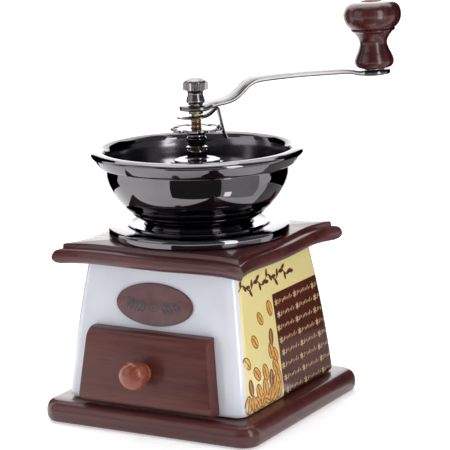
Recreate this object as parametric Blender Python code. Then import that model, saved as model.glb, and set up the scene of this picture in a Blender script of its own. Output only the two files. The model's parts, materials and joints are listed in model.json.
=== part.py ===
"""Hand-cranked burr coffee grinder on a tapered ceramic box.

Run with:  blender --background --python part.py
Units are metres, +Z is up.  The origin is the centre of the wooden base's underside, on the
spindle's axis.  The drawer opens towards -Y and the crank rests over the +X +Y corner.
"""
import math

import bmesh
import bpy
from mathutils import Matrix, Vector

MM = 0.001
GAP = 0.3                      # clearance between pieces that touch, in mm

# ---------------------------------------------------------------- driving dimensions, in mm
BASE_HALF = 64.0               # half the wooden base's side
BASE_CORNER = 10.0             # plan radius of its corners
BASE_THICK = 12.0
BODY_BOTTOM = BASE_THICK + GAP
BODY_TOP = 84.5
BODY_HALF_BOTTOM = 53.9        # ceramic box: half its side at the bottom and at the top
BODY_HALF_TOP = 44.9
BODY_BULGE = 0.7               # how far its sides swell half-way up
BODY_WALL = 4.5
BODY_CORNER = 7.0
PLATE_BOTTOM = BODY_TOP + GAP
PLATE_TOP = 95.5
PLATE_HALF = 52.2              # serpentine top plate: side, bulge at mid-side, flare at corners
PLATE_BULGE = 1.6
PLATE_FLARE = 4.8
PLATE_HOLE = 31.0
TIE_AT = 35.5                  # tie screws stand at +-TIE_AT in X and Y
DRAWER_TRAVEL = 72.0
DRAWER_HALF = 31.0
DRAWER_FLOOR = 16.6            # underside of the drawer box
DRAWER_RIM = 45.5
DRAWER_BACK = 38.0
BOARD = 3.6                    # thickness of the drawer's sides
NECK_RADIUS = 28.9             # neck of the bowl
LEDGE_TOP = 97.5               # ring at the foot of the neck that the bridge stands on
SPINDLE_R = 2.85               # M6 spindle
BORE_R = 3.15                  # what runs on the spindle
FLATS_HALF = 2.1               # half the width across the spindle's four flats
WHEEL_Z = 150.5                # underside of the adjusting wheel's disc
WHEEL_R = 13.8
NOTCHES = 8
CRANK_AZIMUTH = math.radians(45.0)
CRANK_RADIUS = 100.3           # spindle axis to handle axis
CRANK_THICK = 2.2
EYE_TOP = 163.7                # top of the crank's eye, and of the pad that the handle turns on
PAD_TOP = 176.9
HANDLE_LEAN = math.radians(2.0)

ALONG = Vector((math.cos(CRANK_AZIMUTH), math.sin(CRANK_AZIMUTH), 0.0))
ACROSS = Vector((-ALONG.y, ALONG.x, 0.0))


# ---------------------------------------------------------------- scene and materials
def clear_scene():
    for old in list(bpy.data.objects):
        bpy.data.objects.remove(old, do_unlink=True)


def make_material(name, colour, roughness, metallic=0.0):
    material = bpy.data.materials.new(name)
    material.use_nodes = True
    shader = material.node_tree.nodes["Principled BSDF"]
    shader.inputs["Base Color"].default_value = (*colour, 1.0)
    shader.inputs["Roughness"].default_value = roughness
    shader.inputs["Metallic"].default_value = metallic
    material.diffuse_color = (*colour, 1.0)
    return material


def make_finishes():
    return {
        "stained_wood": make_material("stained_wood", (0.09, 0.03, 0.03), 0.3),
        "knob_wood": make_material("knob_wood", (0.24, 0.08, 0.05), 0.35),
        "plain_wood": make_material("plain_wood", (0.52, 0.36, 0.2), 0.6),
        "glaze": make_material("glaze", (0.62, 0.64, 0.70), 0.12),
        "plaque": make_material("plaque", (0.10, 0.05, 0.05), 0.4),
        "black_nickel": make_material("black_nickel", (0.10, 0.09, 0.10), 0.08, 1.0),
        "nickel": make_material("nickel", (0.42, 0.39, 0.39), 0.25, 1.0),
        "yellow_zinc": make_material("yellow_zinc", (0.55, 0.42, 0.18), 0.35, 1.0),
        "cast_iron": make_material("cast_iron", (0.12, 0.12, 0.12), 0.6, 1.0),
        "spring_steel": make_material("spring_steel", (0.45, 0.45, 0.46), 0.3, 1.0),
    }


def make_empty(name, location=(0.0, 0.0, 0.0), rotation=None):
    empty = bpy.data.objects.new(name, None)
    empty.location = location
    if rotation is not None:
        empty.rotation_euler = rotation.to_euler()
    bpy.context.collection.objects.link(empty)
    return empty


def finish_object(name, mesh_builder, material, parent=None, smooth=True):
    """Close a bmesh into a named object, its faces pointing out, in metres."""
    bmesh.ops.remove_doubles(mesh_builder, verts=mesh_builder.verts, dist=1e-4)
    bmesh.ops.recalc_face_normals(mesh_builder, faces=mesh_builder.faces)
    bmesh.ops.scale(mesh_builder, vec=(MM, MM, MM), verts=mesh_builder.verts)
    mesh = bpy.data.meshes.new(name)
    mesh_builder.to_mesh(mesh)
    mesh_builder.free()
    if material is not None:
        mesh.materials.append(material)
    if smooth:
        mesh.shade_smooth()
        mesh.set_sharp_from_angle(angle=math.radians(35.0))
    piece = bpy.data.objects.new(name, mesh)
    piece.parent = parent
    bpy.context.collection.objects.link(piece)
    return piece


def cut_away(piece, cutter):
    """Subtract a cutter, which stays in the file as a hidden guide."""
    cutter.hide_render = True
    cutter.display_type = "WIRE"
    cutter.parent = piece.parent
    boolean = piece.modifiers.new("cut_" + cutter.name, "BOOLEAN")
    boolean.operation = "DIFFERENCE"
    boolean.solver = "EXACT"
    boolean.object = cutter


# ---------------------------------------------------------------- shapes, all in mm
def circle(radius, z, count, turn=0.0):
    angles = [turn + 2.0 * math.pi * i / count for i in range(count)]
    return [Vector((radius * math.cos(a), radius * math.sin(a), z)) for a in angles]


def rounded_square(half, radius, z, steps=5):
    points = []
    for quarter in range(4):
        start = quarter * math.pi / 2.0
        middle = start + math.pi / 4.0
        centre = Vector((math.cos(middle), math.sin(middle))) * (half - radius) * math.sqrt(2.0)
        for i in range(steps + 1):
            angle = start + i * math.pi / 2.0 / steps
            points.append(Vector((centre.x + radius * math.cos(angle),
                                  centre.y + radius * math.sin(angle), z)))
    return points


def serpentine(inset, z, count=14):
    """Plan of the top plate: a soft bulge at each mid-side and a flare into each corner."""
    turn_point = 0.62
    corner = PLATE_HALF + PLATE_FLARE - inset
    points = []
    for side in range(4):
        for i in range(count):
            t = -1.0 + 2.0 * i / count
            if abs(t) < turn_point:
                swell = PLATE_BULGE * math.cos(math.pi * t / (2.0 * turn_point)) ** 2
            else:
                swell = PLATE_FLARE * ((abs(t) - turn_point) / (1.0 - turn_point)) ** 2
            point = Vector((PLATE_HALF - inset + swell, t * corner, z))
            points.append(Matrix.Rotation(side * math.pi / 2.0, 3, "Z") @ point)
    return points


def loft(rings, tube=False):
    """Skin a stack of rings; a tube's last ring joins its first, else both ends are capped."""
    builder = bmesh.new()
    loops = [[builder.verts.new(point) for point in ring] for ring in rings]
    pairs = list(zip(loops, loops[1:]))
    if tube:
        pairs.append((loops[-1], loops[0]))
    for low, high in pairs:
        for i in range(len(low)):
            j = (i + 1) % len(low)
            builder.faces.new((low[i], low[j], high[j], high[i]))
    if not tube:
        builder.faces.new(list(reversed(loops[0])))
        builder.faces.new(loops[-1])
    return builder


def turned(profile, count, bored=False):
    """A turned shape about Z from (radius, z) points; a bored one has a closed profile."""
    return loft([circle(radius, z, count) for radius, z in profile], tube=bored)


def box(low, high):
    builder = bmesh.new()
    bmesh.ops.create_cube(builder, size=1.0)
    size = Vector(high) - Vector(low)
    centre = (Vector(high) + Vector(low)) / 2.0
    bmesh.ops.scale(builder, vec=size, verts=builder.verts)
    bmesh.ops.translate(builder, vec=centre, verts=builder.verts)
    return builder


def prism(outline, low, high):
    """Extrude a closed outline: (y, z) points along X."""
    rings = [[Vector((x, y, z)) for y, z in outline] for x in (low, high)]
    return loft(rings)


def move(builder, offset):
    bmesh.ops.translate(builder, vec=Vector(offset), verts=builder.verts)
    return builder


def turn(builder, matrix):
    bmesh.ops.rotate(builder, cent=(0, 0, 0), matrix=matrix, verts=builder.verts)
    return builder


def join(builders):
    """Put several closed shapes that stand apart in one cutter."""
    whole = bmesh.new()
    for builder in builders:
        part = bpy.data.meshes.new("part")
        builder.to_mesh(part)
        builder.free()
        whole.from_mesh(part)
        bpy.data.meshes.remove(part)
    return whole


def strip(stations, thickness):
    """A flat strip that follows (s, z of its top, half width) stations along +X."""
    rings = []
    for i, (s, z, half) in enumerate(stations):
        before = stations[max(i - 1, 0)]
        after = stations[min(i + 1, len(stations) - 1)]
        slope = Vector((after[0] - before[0], 0.0, after[1] - before[1])).normalized()
        down = Vector((slope.z, 0.0, -slope.x)) * thickness
        top = Vector((s, 0.0, z))
        side = Vector((0.0, half, 0.0))
        rings.append([top - side, top + side, top + down + side, top + down - side])
    return loft(rings)


def spread(count, radius, turn_by=0.0):
    """Places round a circle."""
    angles = [turn_by + 2.0 * math.pi * i / count for i in range(count)]
    return [(radius * math.cos(a), radius * math.sin(a)) for a in angles]


def body_half(z):
    """Half the ceramic box's side at height z."""
    u = (z - BODY_BOTTOM) / (BODY_TOP - BODY_BOTTOM)
    straight = BODY_HALF_BOTTOM + (BODY_HALF_TOP - BODY_HALF_BOTTOM) * u
    return straight + BODY_BULGE * 4.0 * u * (1.0 - u)


TIE_PLACES = [(x, y) for x in (-TIE_AT, TIE_AT) for y in (-TIE_AT, TIE_AT)]
CARRIER_SCREW_PLACES = spread(3, 34.0, math.radians(90.0))
BRIDGE_SCREW_PLACES = [(24.8, 0.0), (-24.8, 0.0)]


# ---------------------------------------------------------------- wooden base, box and top
def build_base(finish):
    edge = [(3.2, 0.0), (1.0, 1.0), (0.0, 3.4), (0.0, 6.6), (1.2, 9.8), (3.6, 11.6), (5.6, 12.0)]
    rings = [rounded_square(BASE_HALF - inset, BASE_CORNER - inset, z) for inset, z in edge]
    base = finish_object("base_plate", loft(rings), finish["stained_wood"])
    hole = [(4.2, -1.0), (4.2, 3.6), (2.2, 3.6), (2.2, 13.0)]
    holes = [move(turned(hole, 16), (x, y, 0.0)) for x, y in TIE_PLACES]
    cut_away(base, finish_object("base_hole_cutter", join(holes), None))


def build_tie_screws(finish):
    profile = [(3.8, 0.5), (3.8, 3.2), (1.9, 3.2), (1.9, 92.4)]
    for index, (x, y) in enumerate(TIE_PLACES):
        screw = turned(profile, 14)
        finish_object(f"tie_screw_{index + 1}", move(screw, (x, y, 0.0)), finish["yellow_zinc"])


def build_ceramic_body(finish):
    heights = [BODY_BOTTOM + 3.5, 26.0, 40.0, 54.0, 68.0, BODY_TOP]
    foot = rounded_square(body_half(BODY_BOTTOM) - 3.0, BODY_CORNER - 3.0, BODY_BOTTOM)
    low = rounded_square(body_half(BODY_BOTTOM + 1.2) - 0.8, BODY_CORNER - 0.8, BODY_BOTTOM + 1.2)
    outside = [foot, low]
    outside += [rounded_square(body_half(z), BODY_CORNER, z) for z in heights]
    inner_heights = [BODY_TOP, 54.0, 26.0, BODY_BOTTOM]
    inside = [rounded_square(body_half(z) - BODY_WALL, BODY_CORNER - 3.0, z) for z in inner_heights]
    body = finish_object("ceramic_body", loft(outside + inside, tube=True), finish["glaze"])
    mouth = box((-32.0, -70.0, 16.0), (32.0, -40.0, 46.6))
    cut_away(body, finish_object("drawer_mouth_cutter", mouth, None))


def build_plaque(finish):
    """Oval plaque that follows the front wall's curve."""
    half_width, half_height, centre_z, count = 22.9, 11.0, 66.5, 28
    rings = []
    for depth, grow in ((GAP, 1.0), (1.0, 1.0), (1.3, 0.97)):
        ring = []
        for i in range(count):
            angle = 2.0 * math.pi * i / count
            x = half_width * grow * math.cos(angle)
            z = centre_z + half_height * grow * math.sin(angle)
            ring.append(Vector((x, -(body_half(z) + depth), z)))
        rings.append(ring)
    finish_object("front_plaque", loft(rings), finish["plaque"])


def build_top_plate(finish):
    edge = [(3.6, PLATE_BOTTOM), (1.2, 85.9), (0.0, 88.0), (0.3, 90.2), (1.5, 92.0), (3.9, 92.9),
            (4.6, 93.1), (4.7, 94.9), (5.3, PLATE_TOP)]
    rings = [serpentine(inset, z) for inset, z in edge]
    plate = finish_object("top_plate", loft(rings), finish["stained_wood"])
    throat = turned([(PLATE_HOLE, 80.0), (PLATE_HOLE, 100.0)], 40)
    tie_hole = [(2.2, 80.0), (2.2, 93.0)]
    pilot = [(1.7, 80.0), (1.7, 92.4)]
    holes = [throat]
    holes += [move(turned(tie_hole, 12), (x, y, 0.0)) for x, y in TIE_PLACES]
    holes += [move(turned(pilot, 10), (x, y, 0.0)) for x, y in CARRIER_SCREW_PLACES]
    cut_away(plate, finish_object("plate_hole_cutter", join(holes), None))


def build_runners(finish):
    for side, sign in (("left", -1.0), ("right", 1.0)):
        low = min(sign * 23.0, sign * 30.0)
        runner = box((low, -42.0, BASE_THICK + GAP), (low + 7.0, 44.0, 16.2))
        finish_object(f"drawer_runner_{side}", runner, finish["plain_wood"])


# ---------------------------------------------------------------- metal hopper
def build_hopper(finish):
    flange = [(48.1, 95.8), (48.4, 96.6), (48.4, 99.5), (47.8, 100.4), (47.0, 100.7),
              (38.6, 100.9), (37.8, 101.6), (36.4, 101.8), (35.2, 101.1), (29.3, 101.0),
              (29.3, 99.9), (46.4, 99.5), (47.2, 98.6), (47.2, 95.8)]
    finish_object("hopper_base", turned(flange, 40, bored=True), finish["black_nickel"])
    outside = [(51.2, 141.1), (52.8, 141.7), (55.4, 141.2), (56.6, 139.3), (55.3, 136.9),
               (53.2, 133.6), (49.3, 132.6), (48.5, 127.0), (47.3, 122.9), (44.5, 117.6),
               (41.2, 113.1), (38.0, 110.1), (36.5, 109.1), (36.1, 107.9), (29.6, 103.6),
               (NECK_RADIUS, 102.4), (NECK_RADIUS, LEDGE_TOP - 1.0)]
    inside = [(20.0, LEDGE_TOP - 1.0), (20.0, LEDGE_TOP), (27.7, LEDGE_TOP), (27.8, 102.8),
              (37.0, 110.8), (40.6, 114.1), (43.6, 118.2), (46.2, 123.2), (47.4, 127.4),
              (48.2, 134.0), (49.2, 138.6)]
    bowl = finish_object("hopper_bowl", turned(outside + inside, 40, bored=True),
                         finish["black_nickel"])
    holes = [move(turned([(1.7, 94.0), (1.7, 99.0)], 10), (x, y, 0.0))
             for x, y in BRIDGE_SCREW_PLACES]
    cut_away(bowl, finish_object("ledge_hole_cutter", join(holes), None))


def build_carrier(finish):
    """Cast ring under the wooden top that the outer burr drops into."""
    profile = [(37.0, 81.8), (37.0, 84.4), (30.6, 84.4), (30.6, 96.2), (22.0, 96.2),
               (22.0, 83.0), (20.0, 83.0), (20.0, 81.8)]
    carrier = finish_object("burr_carrier", turned(profile, 36, bored=True), finish["cast_iron"])
    holes = [move(turned([(1.7, 80.0), (1.7, 86.0)], 10), (x, y, 0.0))
             for x, y in CARRIER_SCREW_PLACES]
    holes += [move(turned([(1.7, 88.0), (1.7, 98.0)], 10), (x, y, 0.0))
              for x, y in BRIDGE_SCREW_PLACES]
    cut_away(carrier, finish_object("carrier_hole_cutter", join(holes), None))
    screw = [(1.2, 91.9), (1.4, 90.0), (1.4, 81.4), (2.8, 81.4), (2.8, 79.9)]
    for index, (x, y) in enumerate(CARRIER_SCREW_PLACES):
        finish_object(f"carrier_screw_{index + 1}", move(turned(screw, 10), (x, y, 0.0)),
                      finish["yellow_zinc"])


def build_bridge(finish):
    """Inverted U of strap that stands in the throat and holds the bush over the burrs."""
    wide = 7.0
    outer = [(-26.3, LEDGE_TOP + GAP), (-26.3, 99.8), (-20.8, 99.8), (-12.2, 133.7)]
    outer += [(-s, z) for s, z in reversed(outer)]
    inner = [(18.6, LEDGE_TOP + GAP), (10.6, 131.7), (-10.6, 131.7), (-18.6, LEDGE_TOP + GAP)]
    outline = [Vector((s, -wide, z)) for s, z in outer + inner]
    rings = [outline, [Vector((p.x, wide, p.z)) for p in outline]]
    bridge = finish_object("bridge", loft(rings), finish["black_nickel"], smooth=False)
    holes = [turned([(5.4, 128.0), (5.4, 137.0)], 20)]
    holes += [move(turned([(1.7, 96.0), (1.7, 102.0)], 10), (x, y, 0.0))
              for x, y in BRIDGE_SCREW_PLACES]
    cut_away(bridge, finish_object("bridge_hole_cutter", join(holes), None))


def build_bridge_screws(finish):
    profile = [(1.4, 89.0), (1.4, 100.1), (2.5, 100.1), (2.3, 101.4), (1.2, 102.0)]
    for index, (x, y) in enumerate(BRIDGE_SCREW_PLACES):
        finish_object(f"bridge_screw_{index + 1}", move(turned(profile, 12), (x, y, 0.0)),
                      finish["nickel"])


def build_bush(finish):
    bush = [(5.3, 140.5), (5.3, 135.6), (12.3, 135.3), (12.3, 134.0), (5.1, 134.0),
            (5.1, 127.0), (BORE_R, 127.0), (BORE_R, 140.5)]
    finish_object("bush", turned(bush, 28, bored=True), finish["black_nickel"])
    corners = [circle(8.0, z, 24) for z in (131.3, 128.0)]
    for ring in corners:
        for i, point in enumerate(ring):
            angle = (2.0 * math.pi * i / 24.0 + math.pi / 6.0) % (math.pi / 3.0) - math.pi / 6.0
            point.xy = point.xy * (6.9 / 8.0 / math.cos(angle))
    bore = [circle(5.4, z, 24) for z in (128.0, 131.3)]
    finish_object("bush_nut", loft(corners + bore, tube=True), finish["nickel"], smooth=False)


# ---------------------------------------------------------------- turning pieces
def toothed_ring(radius, depth, z, teeth, turn_by):
    """Ring of saw teeth, four points each: the tips lie on the radius."""
    points = []
    for i in range(teeth * 4):
        angle = turn_by + 2.0 * math.pi * i / (teeth * 4)
        reach = radius - depth * (1.0, 0.35, 0.0, 0.75)[i % 4]
        points.append(Vector((reach * math.cos(angle), reach * math.sin(angle), z)))
    return points


def build_burrs(finish, mill):
    teeth = 12
    levels = [(17.9, 0.3, 81.6), (17.9, 0.5, 83.3), (14.4, 0.9, 87.4), (10.7, 1.5, 91.9),
              (7.2, 0.4, 96.3)]
    outside = [toothed_ring(r, d, z, teeth, 0.05 * (z - 81.6)) for r, d, z in levels]
    bore = [circle(BORE_R, z, teeth * 4) for z in (96.3, 81.6)]
    finish_object("inner_burr", loft(outside + bore, tube=True), finish["cast_iron"], mill)
    inner = []
    for radius, depth, z in ((18.6, -0.5, 83.3), (19.0, -1.0, 88.0), (19.6, -1.8, 95.9)):
        inner.append(toothed_ring(radius, depth, z, teeth, -0.04 * (z - 83.3)))
    shell = [circle(21.7, z, teeth * 4) for z in (95.9, 83.3)]
    finish_object("outer_burr", loft(inner + shell, tube=True), finish["cast_iron"])
    washer = [(7.0, 81.2), (7.0, 80.1), (2.7, 80.1), (2.7, 81.2)]
    finish_object("burr_washer", turned(washer, 20, bored=True), finish["yellow_zinc"], mill)
    nut = [circle(5.0, z, 6) for z in (79.8, 75.6)] + [circle(2.7, z, 6) for z in (75.6, 79.8)]
    finish_object("burr_nut", loft(nut, tube=True), finish["yellow_zinc"], mill, smooth=False)


def flats_ring(z, count=24):
    """The spindle's squared end: four flats milled on the round."""
    ring = []
    for i in range(count):
        angle = 2.0 * math.pi * i / count
        reach = min(SPINDLE_R, FLATS_HALF / max(abs(math.cos(angle)), abs(math.sin(angle))))
        ring.append(Vector((reach * math.cos(angle + CRANK_AZIMUTH),
                            reach * math.sin(angle + CRANK_AZIMUTH), z)))
    return ring


def build_spindle(finish, mill):
    def round_ring(radius, z):
        return circle(radius, z, 24, CRANK_AZIMUTH)
    rings = [round_ring(2.3, 73.0), round_ring(2.3, 81.4), round_ring(SPINDLE_R, 81.4),
             round_ring(SPINDLE_R, 96.6), round_ring(4.4, 96.6), round_ring(4.4, 98.4),
             round_ring(SPINDLE_R, 98.4), round_ring(SPINDLE_R, 157.3), flats_ring(157.3),
             flats_ring(165.0), round_ring(2.05, 165.0), round_ring(2.05, 174.6)]
    finish_object("spindle", loft(rings), finish["yellow_zinc"], mill)


def build_wheel(finish, mill):
    """Scalloped disc on a threaded hub: turning it lifts or lowers the spindle."""
    def rim(radius, z):
        count = NOTCHES * 8
        ring = []
        for i in range(count):
            angle = 2.0 * math.pi * i / count
            phase = ((angle - CRANK_AZIMUTH) * NOTCHES / (2.0 * math.pi) + 0.5) % 1.0 - 0.5
            notch = max(0.0, 1.0 - (abs(phase) / 0.21) ** 3)
            reach = radius - 2.0 * notch
            ring.append(Vector((reach * math.cos(angle), reach * math.sin(angle), z)))
        return ring

    def plain(radius, z):
        return circle(radius, z, NOTCHES * 8)
    rings = [plain(4.7, 142.3), plain(5.2, 146.1), plain(4.6, 147.1), plain(4.6, WHEEL_Z),
             rim(WHEEL_R - 1.3, WHEEL_Z), rim(WHEEL_R, WHEEL_Z + 0.6),
             rim(WHEEL_R - 0.1, WHEEL_Z + 1.6), rim(WHEEL_R - 1.1, WHEEL_Z + 1.1),
             plain(BORE_R, WHEEL_Z + 1.0), plain(BORE_R, 142.3)]
    finish_object("adjusting_wheel", loft(rings, tube=True), finish["black_nickel"], mill)


def build_washers(finish, mill):
    thrust = [(5.6, 141.9), (5.6, 140.9), (BORE_R, 140.9), (BORE_R, 141.9)]
    finish_object("thrust_washer", turned(thrust, 24, bored=True), finish["nickel"], mill)
    seat = [(7.6, 126.6), (7.6, 125.5), (BORE_R, 125.5), (BORE_R, 126.6)]
    finish_object("spring_seat", turned(seat, 20, bored=True), finish["yellow_zinc"], mill)
    for name, low, high in (("crank_spacer", 159.5, 161.2), ("crank_washer", 164.1, 164.8)):
        ring = [(3.8, high), (3.8, low), (BORE_R, low), (BORE_R, high)]
        finish_object(name, turned(ring, 20, bored=True), finish["yellow_zinc"], mill)


def build_spring(finish, mill):
    """Compression spring that keeps the wheel seated on the bush."""
    wire, radius, turns, per_turn = 0.6, 5.7, 6.5, 12
    low, high = 96.3 + GAP + wire, 125.5 - GAP - wire
    count = int(turns * per_turn)
    curve = bpy.data.curves.new("burr_spring", "CURVE")
    curve.dimensions = "3D"
    curve.bevel_depth = wire * MM
    curve.bevel_resolution = 1
    curve.use_fill_caps = True
    curve.materials.append(finish["spring_steel"])
    spline = curve.splines.new("POLY")
    spline.points.add(count)
    for i in range(count + 1):
        angle = 2.0 * math.pi * i / per_turn
        share = min(max((i - per_turn) / (count - 2 * per_turn), 0.0), 1.0)
        flat_low = min(i / per_turn, 1.0) * 2.2 * wire
        flat_high = max((i - count + per_turn) / per_turn, 0.0) * 2.2 * wire
        z = low + flat_low + (high - low - 4.4 * wire) * share + flat_high
        spline.points[i].co = (radius * math.cos(angle) * MM, radius * math.sin(angle) * MM,
                               z * MM, 1.0)
    spring = bpy.data.objects.new("burr_spring", curve)
    spring.parent = mill
    bpy.context.collection.objects.link(spring)


# ---------------------------------------------------------------- crank and handle
def half_width(s, eye, pad):
    """Half the crank's width: a round eye, a tapering strip and a round pad."""
    strap = 6.4 - 1.2 * s / CRANK_RADIUS
    at_eye = math.sqrt(max(eye * eye - s * s, 0.0))
    at_pad = math.sqrt(max(pad * pad - (s - CRANK_RADIUS) ** 2, 0.0))
    if s < 0.0:
        return max(at_eye, 0.6)
    if s > CRANK_RADIUS:
        return max(at_pad, 0.6)
    return max(strap, at_eye, at_pad)


def square_hole(low, high):
    hole = box((-2.4, -2.4, low), (2.4, 2.4, high))
    return turn(hole, Matrix.Rotation(CRANK_AZIMUTH, 3, "Z"))


def build_crank(finish, mill):
    eye, pad = 8.7, 8.4
    rise = math.tan(HANDLE_LEAN)
    centreline = [(-eye, EYE_TOP), (-8.2, EYE_TOP), (-7.0, EYE_TOP), (-4.5, EYE_TOP),
                  (0.0, EYE_TOP), (3.5, EYE_TOP + 0.1), (5.9, 164.4), (10.0, 165.4),
                  (14.5, 166.1), (18.0, 167.0),
                  (20.5, 168.3), (23.0, 170.3), (27.0, 174.0), (29.0, 175.3), (31.5, 176.3),
                  (35.0, 176.9), (45.0, 177.6), (60.0, 178.1), (75.0, 178.2), (85.0, 178.0)]
    for s in (91.9, 92.6, 93.7, 95.5, 100.3, 105.1, 106.9, 108.0, 108.7):
        centreline.append((s, PAD_TOP + rise * (s - CRANK_RADIUS)))
    stations = [(s, z, half_width(s, eye, pad)) for s, z in centreline]
    arm = turn(strip(stations, CRANK_THICK), Matrix.Rotation(CRANK_AZIMUTH, 3, "Z"))
    crank = finish_object("crank_arm", arm, finish["nickel"], mill)
    pin_hole = turned([(2.8, -6.0), (2.8, 4.0)], 16)
    pin_hole = move(pin_hole, ALONG * CRANK_RADIUS + Vector((0.0, 0.0, PAD_TOP)))
    holes = join([square_hole(160.0, 167.0), pin_hole])
    cut_away(crank, finish_object("crank_hole_cutter", holes, None))


def build_leaf(finish, mill):
    """Spring-steel stopper: its finger reaches down and its tooth sits in a wheel notch."""
    top = [(-10.2, 158.2, 0.8), (-9.6, 158.2, 3.4), (-8.0, 158.2, 6.2), (-5.0, 158.3, 8.7),
           (0.0, 158.5, 9.6), (4.0, 159.0, 8.4), (7.0, 160.0, 6.2), (9.4, 161.4, 4.2),
           (11.1, 162.4, 3.6)]
    finger = [(12.0, 162.2, 3.2), (12.5, 160.8, 3.0), (14.5, 152.6, 2.9), (15.4, 149.2, 3.0),
              (16.8, 145.2, 3.5)]
    leaf = turn(strip(top + finger, 0.8), Matrix.Rotation(CRANK_AZIMUTH, 3, "Z"))
    piece = finish_object("stopper_leaf", leaf, finish["nickel"], mill)
    cut_away(piece, finish_object("leaf_hole_cutter", square_hole(155.0, 161.0), None))
    tooth = box((12.3, -1.3, 149.4), (14.6, 1.3, 152.9))
    tooth = turn(tooth, Matrix.Rotation(CRANK_AZIMUTH, 3, "Z"))
    guide = finish_object("leaf_tooth_guide", tooth, None)
    guide.hide_render = True
    guide.display_type = "WIRE"
    guide.parent = mill
    union = piece.modifiers.new("tooth", "BOOLEAN")
    union.operation = "UNION"
    union.solver = "EXACT"
    union.object = guide


def build_thumb_nut(finish, mill):
    profile = [(4.5, 165.1), (4.9, 165.7), (4.9, 167.0), (4.1, 170.0), (4.5, 171.6),
               (6.35, 172.2), (6.35, 176.3), (4.6, 177.6), (2.4, 178.4), (0.4, 178.6)]
    nut = turned(profile, 24)
    piece = finish_object("thumb_nut", nut, finish["nickel"], mill)
    bore = turned([(2.4, 160.0), (2.4, 175.2)], 16)
    cut_away(piece, finish_object("thumb_nut_bore_cutter", bore, None))


def build_handle(finish, mill):
    """The wooden handle and the pin it turns on, built about the handle's own axis."""
    axis = (Vector((0.0, 0.0, 1.0)) * math.cos(HANDLE_LEAN) - ALONG * math.sin(HANDLE_LEAN))
    lean = Vector((0.0, 0.0, 1.0)).rotation_difference(axis).to_matrix()
    place = (ALONG * CRANK_RADIUS + Vector((0.0, 0.0, PAD_TOP))) * MM
    stand = make_empty("handle_axis", place, lean)
    stand.parent = mill
    washer = [(5.6, 0.9), (5.6, 0.3), (2.9, 0.3), (2.9, 0.9)]
    finish_object("handle_washer", turned(washer, 20, bored=True), finish["nickel"], stand)
    pin = [(3.4, -3.1), (3.9, -2.6), (2.5, -2.6), (2.5, 29.4), (4.4, 29.4), (4.4, 30.6),
           (3.2, 31.4)]
    finish_object("handle_pin", turned(pin, 18), finish["nickel"], stand)
    wood = [(7.8, 1.2), (9.8, 2.1), (10.6, 4.6), (10.2, 7.2), (7.5, 13.2), (7.6, 15.8),
            (9.0, 18.6), (11.8, 21.4), (11.8, 22.2), (14.5, 25.4), (15.5, 29.4), (15.0, 32.8),
            (13.0, 35.4), (9.6, 36.7), (5.3, 36.9), (5.3, 29.0), (2.9, 29.0), (2.9, 1.2)]
    finish_object("handle_knob", turned(wood, 28, bored=True), finish["stained_wood"], stand)


# ---------------------------------------------------------------- drawer
def front_face(z):
    """How far the back of the drawer's front board stands from the axis at height z."""
    return body_half(z) + 0.5


def build_drawer(finish, slide):
    low, high = 13.9, 53.3
    edge = 5.0
    thick = 9.0
    rings = []
    steps = [(0.0, 0.0), (0.25, 0.6), (1.4, 2.6), (3.0, 4.0), (edge, edge)]
    levels = [(low + rise, reach) for rise, reach in steps]
    levels += [(high - rise, reach) for rise, reach in reversed(steps)]
    for z, reach in levels:
        share = (z - low) / (high - low)
        half = 40.3 + (35.6 - 40.3) * share
        back = -front_face(z)
        front = back - (thick - edge + reach)
        rings.append([Vector((-half, front, z)), Vector((half, front, z)),
                      Vector((half, back, z)), Vector((-half, back, z))])
    front_board = finish_object("drawer_front", loft(rings), finish["stained_wood"], slide)
    tilt = math.atan((body_half(20.0) - body_half(48.0)) / 28.0)
    lie_down = Matrix.Rotation(math.radians(90.0) - tilt, 3, "X")
    middle = Vector((0.0, -front_face(33.6) - thick, 33.6))

    def knob_shape(profile, count):
        return move(turn(turned(profile, count), lie_down), middle)
    hole = knob_shape([(1.9, -12.0), (1.9, 3.0)], 12)
    cut_away(front_board, finish_object("drawer_front_hole_cutter", hole, None))
    knob = [(5.0, 0.3), (5.2, 1.4), (4.5, 2.4), (4.4, 3.4), (6.2, 5.2), (7.5, 7.8), (7.7, 10.4),
            (6.9, 13.4), (4.9, 15.6), (2.4, 16.7), (0.4, 17.0)]
    handle = finish_object("drawer_knob", knob_shape(knob, 24), finish["knob_wood"], slide)
    bore = knob_shape([(1.9, -1.0), (1.9, 10.0)], 12)
    cut_away(handle, finish_object("drawer_knob_bore_cutter", bore, None))
    screw = [(1.2, 9.5), (1.6, 8.5), (1.6, -9.3), (3.4, -9.3), (3.2, -10.8)]
    finish_object("drawer_knob_screw", knob_shape(screw, 12), finish["yellow_zinc"], slide)

    def slanted(z):
        return -front_face(z) + GAP
    side_outline = [(slanted(DRAWER_FLOOR), DRAWER_FLOOR), (slanted(DRAWER_RIM), DRAWER_RIM),
                    (DRAWER_BACK, DRAWER_RIM), (DRAWER_BACK, DRAWER_FLOOR)]
    inner = DRAWER_HALF - BOARD
    for side, x_low in (("left", -DRAWER_HALF), ("right", inner)):
        board = prism(side_outline, x_low, x_low + BOARD)
        finish_object(f"drawer_side_{side}", board, finish["plain_wood"], slide, smooth=False)
    floor_low, floor_high = 17.2, 20.2
    floor = [(slanted(floor_low), floor_low), (slanted(floor_high), floor_high),
             (DRAWER_BACK, floor_high), (DRAWER_BACK, floor_low)]
    finish_object("drawer_floor", prism(floor, -inner + GAP, inner - GAP), finish["plain_wood"],
                  slide, smooth=False)
    back = box((-inner + GAP, DRAWER_BACK - BOARD, floor_high + GAP),
               (inner - GAP, DRAWER_BACK, DRAWER_RIM))
    finish_object("drawer_back", back, finish["plain_wood"], slide, smooth=False)


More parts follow.
